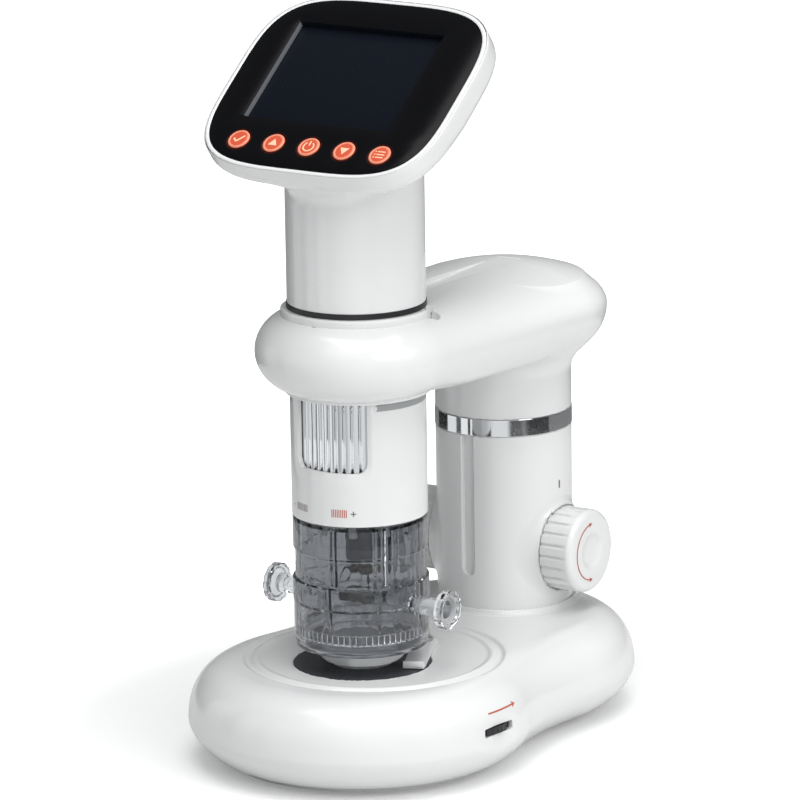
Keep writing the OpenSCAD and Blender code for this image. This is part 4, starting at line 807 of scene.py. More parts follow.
def build_head():
    v, q = nets(head_field, [steps(-49.5, 49.5, 0.8), steps(-54, 44.5, 0.8), steps(-60, -1.2, 0.7)],
        face_warp, 2)
    ob = mesh_object("head_housing_shell", v, q)
    bm = bmesh.new()
    bm.from_mesh(ob.data)
    origin = Vector((FACE_O + np.array([0, TUBE_Y, 0]) - 2.4 * FACE_W) * MM)
    bmesh.ops.bisect_plane(bm, geom=bm.verts[:] + bm.edges[:] + bm.faces[:], dist=1e-7, plane_co=origin,
                           plane_no=Vector(FACE_W), clear_outer=True)
    bmesh.ops.bisect_plane(bm, geom=bm.verts[:] + bm.edges[:] + bm.faces[:], dist=1e-7,
                           plane_co=Vector((0, 0, 0.1925)), plane_no=Vector((0, 0, 1)), clear_inner=True)
    bm.to_mesh(ob.data)
    bm.free()
    exact_normals(ob, head_field)
    # the wall's front edge, down to the seam
    rim = sweep_face("rim", [(2.2, -2.4), (2.2, -0.75), (2.12, -0.42), (1.98, -0.22), (1.92, -0.2),
        (1.86, -0.4),
                             (1.86, -2.4)], closed=False)
    shade(rim, 40)
    # the neck below the head
    neck = mesh_object("neck", *lathe([(21.8, 192.5), (21.8, 164.35), (21.95, 164.2),
        (24.05, 164.2), (24.2, 164.35),
                                       (24.2, 192.5)], 180, closed=False))
    shade(neck, 40)
    ob = join("head_and_neck_housing", [ob, rim, neck])
    return dress(ob, MAT["white"], "tube_unit", ["head_housing", "neck_tube"])


def build_bezel():
    prof = [(0.1, -4.4), (0.1, -0.25), (0.16, -0.1), (0.35, 0.0), (1.0, 0.02), (1.3, -0.05),
        (1.48, -0.2), (1.54, -0.45),
            (1.54, -4.4)]
    ob = shade(tidy(sweep_face("face_rim", prof)), 40)
    return dress(ob, MAT["white"], "tube_unit", ["head_bezel"])


def circle(cx, cy, r, n=48):
    t = np.arange(n) * 2 * math.pi / n
    return np.stack([cx + r * np.cos(t), cy + r * np.sin(t)], 1)


def box_loop(u0, u1, v0, v1, r, seg=4):
    return np.array(fillet([(u0, v0), (u1, v0), (u1, v1), (u0, v1)], r, seg))


def flat_fill(outer, holes):
    """Triangles of a flat region between an outer loop and holes."""
    pts, edges, n = [], [], 0
    for loop in [outer, *holes]:
        pts += [Vector((float(a), float(b))) for a, b in loop]
        edges += [(n + i, n + (i + 1) % len(loop)) for i in range(len(loop))]
        n += len(loop)
    verts, _, faces, *_ = geometry.delaunay_2d_cdt(pts, edges, [], 1, 1e-6)
    co = np.array([(v.x, v.y) for v in verts])
    keep = []
    for f in faces:
        c = co[list(f)].mean(0)
        if not any(in_loop(c, h) for h in holes):
            keep.append(tuple(f))
    return co, keep


def in_loop(p, loop):
    x, y = loop[:, 0], loop[:, 1]
    x2, y2 = np.roll(x, -1), np.roll(y, -1)
    cross = ((y > p[1]) != (y2 > p[1])) & (p[0] < (x2 - x) * (p[1] - y) / (y2 - y + 1e-30) + x)
    return bool(cross.sum() % 2)


def plate(name, outer, holes, w_top, w_low, bevel=0.15):
    """A face plate: each boundary is a function of an inset that gives its loop. Returns an object."""
    verts, faces, n = [], [], 0
    for side, (w, flip) in enumerate(((w_top, False), (w_low, True))):
        b = bevel if side == 0 else 0.0
        co, tri = flat_fill(outer(b), [h(b) for h in holes])
        verts.append(from_face(co[:, 0], co[:, 1], np.full(len(co), w)))
        faces += [tuple(n + i for i in (f[::-1] if flip else f)) for f in tri]
        n += len(co)
    for loop in (outer, *holes):
        rings = [(loop(bevel), w_top), (loop(bevel * 0.3), w_top - bevel * 0.3), (loop(0), w_top - bevel),
                 (loop(0), w_low)]
        m = len(rings[0][0])
        start = n
        for lp, w in rings:
            verts.append(from_face(lp[:, 0], lp[:, 1], np.full(m, w)))
            n += m
        for i in range(len(rings) - 1):
            a, b2 = start + i * m, start + (i + 1) * m
            faces += [(a + j, b2 + j, b2 + (j + 1) % m, a + (j + 1) % m) for j in range(m)]
    return tidy(mesh_object(name, np.concatenate(verts), faces), 2e-6)


def build_face():
    def outer(b):
        return np.stack(face_loop(-b, 240), 1)

    def window(b):
        return box_loop(LCD[0] - b, LCD[1] + b, LCD[2] - b, LCD[3] + b, 0.5 + b)

    def hole(i):
        return lambda b: circle(i * KEY_PITCH, KEY_ROW, KEY_R + 0.1 + 3.4 * b)

    ob = plate("face_cover", outer, [window] + [hole(i) for i in range(-2, 3)], 0.0, -2.2)
    shade(ob, 30)
    # the screen's well: its left wall, which faces the lamps on the right, is painted light grey as painted
    # light
    me = ob.data
    for m in (MAT["gloss_black"], MAT["well_dark"], MAT["well_wall_painted_light"], MAT["key_edge_painted_glow"], MAT["screen"]):
        me.materials.append(m)
    v = to_tube(ob) - FACE_O
    uv = np.stack([v @ FACE_U, v @ FACE_V, v @ FACE_W], 1)
    for p in me.polygons:
        c = uv[list(p.vertices)].mean(0)
        n = np.array(p.normal)
        if c[2] < -0.2 and LCD[0] - 0.1 < c[0] < LCD[1] + 0.1 and LCD[2] - 0.1 < c[1] < LCD[3] + 0.1:
            # walls facing right get the painted light grey, walls facing up the dark wall colour, the rest the
            # screen's colour
            p.material_index = 2 if n @ FACE_U > 0.7 else 1 if n @ FACE_V > 0.7 else 4
        # the faces round each key's hole get the painted red glow of the orange key
        elif c[1] < LCD[2] - 2 and min(math.hypot(c[0] - i * KEY_PITCH,
            c[1] - KEY_ROW) for i in range(-2, 3)) < KEY_R + 0.62 \
                and c[2] > -1.0 and len(p.vertices) == 4:
            p.material_index = 3
    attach(ob, "tube_unit")
    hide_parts("face_panel")
    # the screen: a glass sheet with a slightly bevelled edge
    glass = plate("screen_glass_sheet", lambda b: box_loop(LCD[0] - 2.4 + b, LCD[1] + 2.4 - b,
        LCD[2] - 2.4 + b,
                                                           LCD[3] + 2.4 - b, 0.6), [], -2.22, -5.2, 0.1)
    shade(glass, 30)
    return dress(glass, MAT["screen"], "tube_unit", ["lcd_panel"])


def ring_shape(r, width, a0=0.0, a1=360.0, n=40):
    """Flat band as outline polygons of (a, b)."""
    full = abs(a1 - a0) >= 360
    t = np.radians(np.linspace(a0, a1, n + 1))
    quads = []
    for i in range(n):
        p = [(r - width / 2, t[i]), (r + width / 2, t[i]), (r + width / 2, t[i + 1]),
            (r - width / 2, t[i + 1])]
        quads.append([(q * math.cos(w), q * math.sin(w)) for q, w in p])
    return quads, full


def stroke(points, width):
    """Quads along a polyline of (a, b)."""
    out = []
    for p, q in zip(points, points[1:]):
        p, q = np.array(p, float), np.array(q, float)
        d = (q - p) / np.linalg.norm(q - p)
        n = np.array([-d[1], d[0]]) * width / 2
        e = d * width * 0.0
        out.append([p - e - n, q + e - n, q + e + n, p - e + n])
    return out


KEY_MARKS = {
    "tick": stroke([(-1.5, 0.05), (-0.45, -1.05), (1.65, 1.25)], 0.55),
    "up": [[(-1.45, -0.95), (1.45, -0.95), (0.0, 1.45)]],
    "power": ring_shape(1.6, 0.42, -235, 55, 26)[0] + stroke([(0, 2.05), (0, 0.35)], 0.42),
    "down": [[(-1.45, 0.95), (0.0, -1.45), (1.45, 0.95)]],
    "menu": stroke([(-0.9, 1.05), (1.6, 1.05)], 0.38) + stroke([(-0.9, 0.0), (1.6, 0.0)], 0.38)
    + stroke([(-0.9, -1.05), (1.6, -1.05)], 0.38) + stroke([(-1.75, 1.05), (-1.3, 1.05)], 0.4)
    + stroke([(-1.75, 0.0), (-1.3, 0.0)], 0.4) + stroke([(-1.75, -1.05), (-1.3, -1.05)], 0.4),
}


def raised(name, polygons, thick, mapping):
    """Thin raised marks: each polygon of (a, b) becomes a prism. mapping(a, b, w) places the points."""
    verts, faces = [], []
    for poly in polygons:
        v, f = prism([tuple(p) for p in poly], -0.05, thick)
        n = len(verts)
        verts += v
        faces += [tuple(n + i for i in g) for g in f]
    v = np.array(verts, float)
    ob = mesh_object(name, mapping(v[:, 0], v[:, 1], v[:, 2]), faces)
    return tidy(ob, 1e-7)


def build_keys():
    for i, word in enumerate(("tick", "up", "power", "down", "menu")):
        cu = (i - 2) * KEY_PITCH
        prof = fillet([(0, 0.24), (2.95, 0.3), (3.08, 0.2), (3.25, 0.38), (3.7, 0.38), (4.05, 0.1),
            (4.05, -3.05), (4.9, -3.05),
                       (4.9, -3.5), (0, -3.5)], [0, 0.1, 0.05, 0.08, 0.2, 0.12, 0, 0.1, 0.1, 0], 4)
        v, f = lathe(prof, 72)
        ob = shade(tidy(mesh_object("key_" + word + "_cap",
            from_face(v[:, 0] + cu, v[:, 1] + KEY_ROW, v[:, 2]), f)), 40)
        me = ob.data
        me.materials.append(MAT["orange"])
        me.materials.append(MAT["key_rim_painted_highlight"])
        q = to_tube(ob) - FACE_O
        uv = np.stack([q @ FACE_U - cu, q @ FACE_V - KEY_ROW, q @ FACE_W], 1)
        for p in me.polygons:
            c = uv[list(p.vertices)].mean(0)
            # the raised rim and the top of the outer wall get the paler orange, a painted highlight
            if math.hypot(c[0], c[1]) > 3.1 and c[2] > -0.3:
                p.material_index = 1
        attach(ob, word + "_key")
        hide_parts("key_" + word)
        mark = raised("key_" + word + "_symbol", KEY_MARKS[word], 0.06,
                      lambda a, b, w: from_face(1.22 * a + cu, 1.22 * b + KEY_ROW, w + 0.27))
        dress(mark, MAT["key_mark"], word + "_key")


# ---------------------------------------------------------------- turned parts
def build_focus_ring():
    ribs = 46

    def wave(ang, r, a):
        if r < 20.0:
            return np.full(len(ang), r)
        t = np.abs((ang * ribs / (2 * math.pi)) % 1 - 0.5) * 2
        return r - 0.16 * t ** 2 - 0.5 * np.clip((t - 0.72) / 0.2, 0, 1)

    prof = [(17.5, 104.5), (20.8, 104.5), (21.25, 104.9), (21.25, 135.6), (20.8, 136.0), (17.5, 136.0)]
    v, f = lathe(prof, ribs * 16, wave=wave)
    ob = shade(tidy(mesh_object("ribbed_focus_ring", v, f)), 45)
    return dress(ob, MAT["chrome"], "ribbed_ring", ["focus_ring"])


def build_band():
    prof = [(22.2, 100.62), (24.75, 100.62), (24.85, 100.75), (24.85, 106.62), (24.75, 106.75),
        (22.2, 106.75)]
    v, f = lathe(prof, 180, centre=(0, COL_Y, 0))
    ob = shade(tidy(mesh_object("chrome_collar_band", v, f)), 25)
    return dress(ob, MAT["chrome"], "stand", ["chrome_band"])


def build_knob(side):
    """Grip knob: soft grooves along the flank that stop short of the face, and a dished face."""
    n = 22 * 16
    prof = [(13.1, 25.3), (13.1, 24.0), (14.8, 24.0), (15.2, 24.4)]
    prof += [(15.2, 24.4 + 0.9 * k) for k in range(1, 10)]
    prof += [(15.2 - 2.3 * (1 - math.cos(math.radians(a))), 34.8 + 2.3 * math.sin(math.radians(a)))
             for a in range(0, 91, 10)]
    prof += [(7.6, 37.35), (6.7, 37.3), (6.1, 37.0), (5.4, 36.6), (4.0, 36.35), (2.0, 36.25), (0, 36.2)]
    prof += [(0, 25.3)]

    def wave(ang, r, a):
        depth = 0.75 * np.clip((33.8 - a) / 2.4, 0, 1) if r > 14.7 else 0.0
        d = np.abs((ang * 22 / (2 * math.pi) + 0.5) % 1 - 0.5) * 2 * math.pi * 15.2 / 22
        return r - depth * np.clip(1 - (d / 0.8) ** 2, 0, 1)

    v, f = lathe(prof, n, wave=wave)
    sx = side
    v = np.stack([v[:, 2] * sx, v[:, 0] + COL_Y, v[:, 1] + SHAFT_Z], 1)
    name = "focus_grip_right" if side > 0 else "focus_grip_left"
    ob = shade(tidy(mesh_object(name, v, f)), 38)
    dress(ob, MAT["white"], "drive", ["focus_knob_right" if side > 0 else "focus_knob_left"])

    # the double arrow round the dish, on the side towards the screen
    def at(a, b, w):
        return np.stack([side * (37.36 + w), a + COL_Y, b + SHAFT_Z], 1)

    t = np.radians(np.linspace(98, 262, 60))
    quads = []
    for i in range(len(t) - 1):
        quads.append([(r * math.cos(x), r * math.sin(x)) for r, x in
                      ((10.15, t[i]), (10.5, t[i]), (10.5, t[i + 1]), (10.15, t[i + 1]))])
    for end, s in ((t[0], -1), (t[-1], 1)):
        c = np.array([math.cos(end), math.sin(end)])
        along = s * np.array([-c[1], c[0]])
        p = 10.32 * c
        quads.append([tuple(p + along * 1.5), tuple(p - along * 0.3 + c * 0.75),
            tuple(p - along * 0.3 - c * 0.75)])
    mark = raised(name + "_arrow", quads, 0.045, at)
    return dress(mark, MAT["print_red"], "drive")


# ---------------------------------------------------------------- clear chamber
def build_chamber():
    out = [(22.9, 41.3), (23.3, 41.6), (23.3, 43.0), (23.7, 43.4), (23.7, 57.3), (23.9, 57.5), (23.9, 65.7),
           (23.0, 66.1), (23.0, 76.0), (23.7, 76.8), (23.7, 88.5)]
    inner = [(21.2, 88.5), (21.2, 91.2), (19.8, 91.2), (19.8, 87.2), (21.0, 86.2), (21.0, 66.4),
        (21.6, 65.4),
             (21.6, 58.0), (20.9, 57.0), (20.9, 49.0), (19.3, 48.6), (19.3, 45.6), (20.4, 45.2),
                 (20.4, 42.6), (14.0, 42.6), (14.0, 41.3)]

    def wave(ang, r, a):
        if 45 < a < 49 and r < 19.6:
            return r + 0.32 * np.cos(60 * ang)
        if r < 21.7 and (49 < a < 66 or 66.3 < a < 86.3):
            fine = 0.14 * np.cos(35 * ang) * np.clip(np.sin(ang * 3.5 + 1.0) * 2, 0, 1)
            return r - fine - 0.85 * np.maximum(np.cos(7 * ang + (3.76 if a > 66.2 else 4.5)), 0) ** 14
        return np.full(len(ang), r)

    v, f = lathe(fillet(out + inner, [0.3] * len(out) + [0.2] * len(inner), 3), 420, wave=wave)
    ob = tidy(mesh_object("chamber_wall", v, f))
    shade(ob, 32)
    # its grey tint is painted shade of the chamber's unlit inside
    return dress(ob, MAT["chamber_shade_tint"], "chamber", ["chamber_shell"])


def build_chamber_lens():
    prof = [(0, 35.4), (12.8, 35.4), (14.0, 35.7), (14.7, 36.6), (14.7, 38.8), (14.5, 41.25),
        (13.9, 41.25), (13.9, 42.4),
            (10, 41.9), (5, 41.4), (0, 41.2)]
    ob = lathe_object("chamber_bottom_lens", prof, [0, 0.5, 0.8, 0.5, 0.3, 0.2, 0, 0.2, 2, 2, 0], 120)
    return dress(ob, MAT["clear_lens"], "chamber", ["chamber_lens"])


def build_specimen():
    """Both grips, their axles and the rod are one turned form; the pin is joined to it, and the tray is a
    piece of its own on the same body.
    """
    half = [(6.6, 34.2), (7.0, 34.6), (7.0, 37.1), (6.6, 37.5), (5.3, 37.5), (4.9, 36.5), (0, 36.2)]
    radii = [0.2, 0.2, 0.2, 0.2, 0.3, 0.6, 0]
    side = [(1.5, 19.4), (3.35, 20.0), (3.35, 34.2)] + half
    prof = [(r, -a) for r, a in side[::-1]] + side
    rad = ([0.3, 0.3, 0.2] + radii)
    n = 216

    def wave(ang, r, a):
        if r < 6.5 or abs(a) < 33:
            return np.full(n, r)
        return r - 0.3 * np.clip(0.2 - 0.8 * np.cos(ang * 12), 0, 1)

    v, f = lathe(fillet(prof, rad[::-1] + rad, 3), n, closed=False, wave=wave)
    ob = tidy(mesh_object("specimen_axle_and_grips", np.stack([v[:, 2], v[:, 0], v[:, 1] + SPEC_Z], 1), f))
    v, f = lathe(fillet([(0, 0.5), (0.6, 0.5), (0.5, 8.0), (0, 8.0)], [0, 0, 0.1, 0]), 24,
        centre=(0, 0, SPEC_Z))
    cut(ob, tidy(mesh_object("pin", v, f)), "UNION")
    shade(ob, 34)
    v, f = prism(box_loop(-6.5, 6.5, -5, 5, 1.0), -1.2, 1.6)
    v = np.array(v, float) + np.array([0, 0, SPEC_Z])
    tray = tidy(mesh_object("specimen_tray", v, f))
    hole, hf = lathe([(0, -9), (1.6, -9), (1.6, 9), (0, 9)], 40)
    cut(tray, tidy(mesh_object("hole", np.stack([hole[:, 2], hole[:, 0], hole[:, 1] + SPEC_Z], 1), hf)))
    b = tray.modifiers.new("bevel", "BEVEL")
    b.width, b.segments, b.limit_method = 0.0002, 2, "ANGLE"
    shade(tray, 30)
    dress(tray, MAT["tray"], "specimen_holder")
    return dress(ob, MAT["clear"], "specimen_holder", ["specimen_shaft", "specimen_knobs"])


def blob(centre, radii, turn=0.0, seg=20):
    """An ellipsoid as vertices and faces."""
    verts, faces = [], []
    for i in range(1, seg):
        for j in range(2 * seg):
            a, b = math.pi * i / seg, math.pi * j / seg
            verts.append((math.sin(a) * math.cos(b), math.sin(a) * math.sin(b), math.cos(a)))
    top, low = len(verts), len(verts) + 1
    verts += [(0, 0, 1), (0, 0, -1)]
    m = 2 * seg
    for i in range(seg - 2):
        for j in range(m):
            a, b = i * m, (i + 1) * m
            faces.append((a + j, b + j, b + (j + 1) % m, a + (j + 1) % m))
    for j in range(m):
        faces.append((top, j, (j + 1) % m))
        k = (seg - 2) * m
        faces.append((low, k + (j + 1) % m, k + j))
    v = np.array(verts) * np.array(radii)
    c, s = math.cos(turn), math.sin(turn)
    v = np.stack([c * v[:, 0] - s * v[:, 2], v[:, 1], s * v[:, 0] + c * v[:, 2]], 1)
    return v + np.array(centre), faces


def limb(points, radii, seg=10):
    """A bent tube with a radius at each point."""
    pts = np.array(points, float)
    verts, faces = [], []
    for i, p in enumerate(pts):
        d = pts[min(i + 1, len(pts) - 1)] - pts[max(i - 1, 0)]
        d /= np.linalg.norm(d)
        a = np.cross(d, [0.3, 0.2, 1.0])
        a /= np.linalg.norm(a)
        b = np.cross(d, a)
        for k in range(seg):
            t = 2 * math.pi * k / seg
            verts.append(p + radii[i] * (math.cos(t) * a + math.sin(t) * b))
    for i in range(len(pts) - 1):
        for k in range(seg):
            a, b = i * seg, (i + 1) * seg
            faces.append((a + k, a + (k + 1) % seg, b + (k + 1) % seg, b + k))
    faces.append(tuple(range(seg))[::-1])
    faces.append(tuple(range(len(verts) - seg, len(verts))))
    return np.array(verts), faces


def build_insect():
    z0 = SPEC_Z + 8.0
    parts = []
    foot = np.array([0, 0, z0])
    grow = np.array([1.3, 1.12, 1.4])
    for name, c, r, t in (("wings", (1.7, 0, 2.15), (2.9, 1.85, 1.55), -0.08),
        ("chest", (-1.5, 0, 2.1), (1.35, 1.5, 1.35), 0.0),
                          ("head", (-3.3, 0, 1.8), (1.0, 0.95, 0.9), 0.25),
                              ("belly", (1.2, 0, 1.35), (2.6, 1.5, 0.95), 0.0)):
        v, f = blob(np.array(c) + np.array([0, 0, z0]), r, t)
        parts.append(shade(tidy(mesh_object(name, (v - foot) * grow + foot, f))))
    for s in (-1, 1):
        v, f = blob(np.array([-3.75, s * 0.62, z0 + 2.05]), (0.35, 0.35, 0.35), 0, 10)
        parts.append(shade(tidy(mesh_object("eye", (v - foot) * grow + foot, f))))
    body = join("insect_body", parts)
    dress(body, MAT["beetle"], "specimen_holder", ["specimen_insect"])
    legs = []
    for s in (-1, 1):
        for x0, x1, x2, y1, y2, z1, z2 in ((-2.1, -3.6, -4.9, 2.6, 3.9, 2.4, -0.9),
                                           (-0.9, -1.3, -1.8, 3.1, 4.8, 2.6, -0.8),
                                           (0.6, 2.2, 3.9, 3.0, 4.6, 2.8, -0.7)):
            pts = [(x0, s * 0.7, z0 + 1.3),
                ((x0 + x1) / 2, s * (y1 * 0.6 + 0.2), z0 + z1 * 0.85 + 0.2), (x1, s * y1, z0 + z1),
                   ((x1 + x2) / 2, s * (y1 + y2) / 2, z0 + (z1 + z2) / 2 + 0.3),
                       (x2, s * y2, z0 + z2), (x2 * 1.08, s * (y2 + 0.7), z0 + z2 - 0.25)]
            v, f = limb(pts, [0.34, 0.3, 0.3, 0.22, 0.18, 0.12])
            legs.append(shade(tidy(mesh_object("leg", (v - foot) * grow + foot, f))))
        pts = [(-3.9, s * 0.35, z0 + 2.2), (-4.7, s * 0.9, z0 + 3.0), (-5.3, s * 1.7, z0 + 3.2)]
        v, f = limb(pts, [0.16, 0.12, 0.08], 8)
        legs.append(shade(tidy(mesh_object("feeler", (v - foot) * grow + foot, f))))
    ob = join("insect_legs", legs)
    return dress(ob, MAT["leg"], "specimen_holder")


def build_lamp_guides():
    """Short white light guides under the lamp ring, which show just below the barrel's edge."""
    parts = []
    for i in range(10):
        a = math.radians(24 + 36 * i)
        loop = box_loop(-1.1, 1.1, -1.1, 1.1, 0.3)
        v, f = prism([tuple(p) for p in loop], 83.0, 89.5)
        v = np.array(v, float)
        c, w = math.cos(a), math.sin(a)
        v = np.stack([c * v[:, 0] - w * v[:, 1] + 16 * w, w * v[:, 0] + c * v[:, 1] - 16 * c, v[:, 2]], 1)
        parts.append(shade(tidy(mesh_object("guide", v, f))))
    ob = join("lamp_ring_guides", parts)
    return dress(ob, MAT["frosted"], "tube_unit")


# ---------------------------------------------------------------- clip and prints
def build_clip():
    """Flat lever with a round pivot end and a turned-up front tab."""
    a = math.atan2(-29.8, 14.1)
    pts = [(4 * math.cos(math.radians(t)), 4 * math.sin(math.radians(t))) for t in range(90, 271, 15)]
    outline = pts + [(30.4, -4.0), (33.0, -3.6), (33.0, 3.6), (30.4, 4.0)]
    outline = [tuple(p) for p in fillet(outline, [0] * len(pts) + [2.0, 0.6, 0.6, 2.0], 4)]
    c, s = math.cos(a), math.sin(a)

    def lay(v):
        v = np.array(v, float)
        return np.stack([7.4 + c * v[:, 0] - s * v[:, 1], 29.5 + s * v[:, 0] + c * v[:, 1],
            34.3 + v[:, 2]], 1)

    v, f = prism(outline, 0.0, 0.9)
    lever = tidy(mesh_object("lever", lay(v), f))
    hole, hf = lathe([(0, -1), (1.55, -1), (1.55, 3), (0, 3)], 40)
    cut(lever, tidy(mesh_object("hole", lay(hole), hf)))
    side = fillet([(29.2, 0.0), (33.0, 0.0), (33.0, 2.5), (32.1, 2.5), (31.2, 1.0), (29.2, 0.9)],
        [0, 0.3, 0.3, 0.3, 0.8, 0], 4)
    v, f = prism([tuple(p) for p in side], -3.7, 3.7)
    v = [(p[0], -p[2], p[1]) for p in v]
    tab = tidy(mesh_object("tab", lay(v), f))
    for o in (lever, tab):
        b = o.modifiers.new("bevel", "BEVEL")
        b.width = 0.00015
        b.segments = 2
        b.limit_method = "ANGLE"
        dg = bpy.context.evaluated_depsgraph_get()
        me = bpy.data.meshes.new_from_object(o.evaluated_get(dg))
        o.modifiers.clear()
        o.data = me
        shade(o, 30)
    ob = join("stage_clip_lever", [lever, tab])
    return dress(ob, MAT["satin"], "clip", ["stage_clip"])


def barrel_map(a, b, w):
    """(degrees, height, proud) on the barrel."""
    t = np.radians(a)
    r = BARREL_R + w
    return np.stack([r * np.sin(t), -r * np.cos(t), b], 1)


def build_prints():
    def bar(a, z0, z1, width):
        h = width / 2 / BARREL_R * 180 / math.pi
        return [(a - h, z0), (a + h, z0), (a + h, z1), (a - h, z1)]

    grey = [bar(-37.0, 93.35, 93.65, 1.3)]
    grey += [bar(a, 92.3, 94.9, 0.34) for a in np.linspace(-31.0, -16.5, 9)]
    grey += [bar(28.4, 93.3, 93.7, 1.9), bar(28.4, 92.55, 94.45, 0.4)]
    ob = raised("focus_scale_grey", grey, 0.03, barrel_map)
    dress(ob, MAT["print_grey"], "tube_unit")
    red = [bar(a, 92.1, 94.9, 0.34) for a in np.linspace(9.8, 22.4, 9)]
    ob = raised("focus_scale_red", red, 0.03, barrel_map)
    dress(ob, MAT["print_red"], "tube_unit")
    # index mark on the column, laid just proud of its surface
    t = math.radians(86.0)
    c = np.array([math.sin(t), -math.cos(t)])
    side = np.array([-c[1], c[0]])

    def on_column(a, b, w):
        r = COL_R + w
        x = r * c[0] + a * side[0]
        y = COL_Y + r * c[1] + a * side[1]
        return np.stack([x, y, b], 1)

    loop = box_loop(-0.42, 0.42, 79.0, 82.0, 0.35)
    ob = raised("index_mark", [[tuple(p) for p in loop]], 0.03, on_column)
    dress(ob, MAT["print_grey"], "stand")
    # arrow above the dial's slot, laid on the base's own surface
    quads = []
    xs = np.linspace(-6.2, 8.6, 19)
    for p, q in zip(xs, xs[1:]):
        quads.append([(p, -0.27), (q, -0.27), (q, 0.27), (p, 0.27)])
    quads.append([(9.9, 0.0), (7.7, 1.05), (8.1, 0.0)])
    quads.append([(9.9, 0.0), (8.1, 0.0), (7.7, -1.05)])

    def on_base(a, b, w):
        p = np.outer(a + 1.6, DIAL_SIDE) + np.outer(np.full(len(a), 60.5), DIAL_DIR)
        p[:, 2] = 25.9 + b
        for _ in range(12):
            g = gradient(base_field, p)
            out = g @ DIAL_DIR
            p -= np.outer(base_field(p) / np.maximum(out, 0.2), DIAL_DIR)
        g = gradient(base_field, p)
        g /= np.linalg.norm(g, axis=1)[:, None]
        return p + g * w[:, None]

    ob = raised("dial_arrow", quads, 0.04, on_base)
    return dress(ob, MAT["print_red"], "stand")


# ---------------------------------------------------------------- carried-over nodes
CAD_LOOK = {
    "light_grey": ["base_plate", "battery_door", "inner_frame"],
    "rubber": ["rubber_feet"],
    "steel": ["base_screws", "clip_screw", "arm_screws", "head_screws", "focus_shaft", "battery_springs",
              "charge_port", "card_slot"],
    "stage": ["stage_plate"],
    "frosted": ["light_diffuser"],
    "board": ["lamp_board", "dimmer_board", "main_board", "camera_board", "led_ring", "key_board"],
    "cell": ["battery_cells", "battery_pack"],
    # lower_ring's grey, where it shows in the barrel's groove, is painted shade of the gap below the arm's
    # collar
    "grey": ["guide_rings", "lower_ring"],
    "brass": ["shaft_bushes", "focus_pinion", "focus_rack"],
    "black": ["brightness_dial", "upper_ring"],
    "snout": ["lens_carriage"],
    "satin": ["arm_cover"],
    "alu": ["mast_tube"],
    "silicone": ["key_mat"],
    "glass": ["objective_glass"],
}


def paint_nodes():
    for key, names in CAD_LOOK.items():
        for n in names:
            me = NODES[n].data
            me.materials.clear()
            me.materials.append(MAT[key])


# ---------------------------------------------------------------- stage, light and camera
FLOOR, GLOW, WORLD = (0.80, 0.80, 0.80), 0.24, 0.175
# name, azimuth from the front to the right, height, distance, width, height of the lamp, watts
LAMPS = [("right", 76, 20, 1.4, 1.2, 1.2, 8.0),
         ("front", 18, 44, 1.5, 1.1, 1.1, 5.0),
         ("top", 60, 78, 1.5, 1.4, 1.4, 21.5),
         ("window", 76.3, 32.5, 1.4, 0.2, 0.3, 0.9)]
# azimuth and brightness along the ring of cards
CARDS = [(-146, 0.2), (-104, 0.2), (-103.5, 0.02), (-73, 0.02), (-72.5, 0.8), (-53, 0.8),
    (-50, 0.1), (-42, 0.1),
         (-41, 0.9), (-28.5, 0.9), (-27.5, 0.02), (-23.8, 0.02), (-23.2, 0.9), (-11, 0.9),
             (-10, 0.34), (13, 0.66),
         (16, 0.76), (38, 0.76), (45, 0.09), (59, 0.1), (66, 0.2), (71, 0.1), (74, 0.03),
             (111, 0.03), (114, 0.2),
         (199, 0.22)]


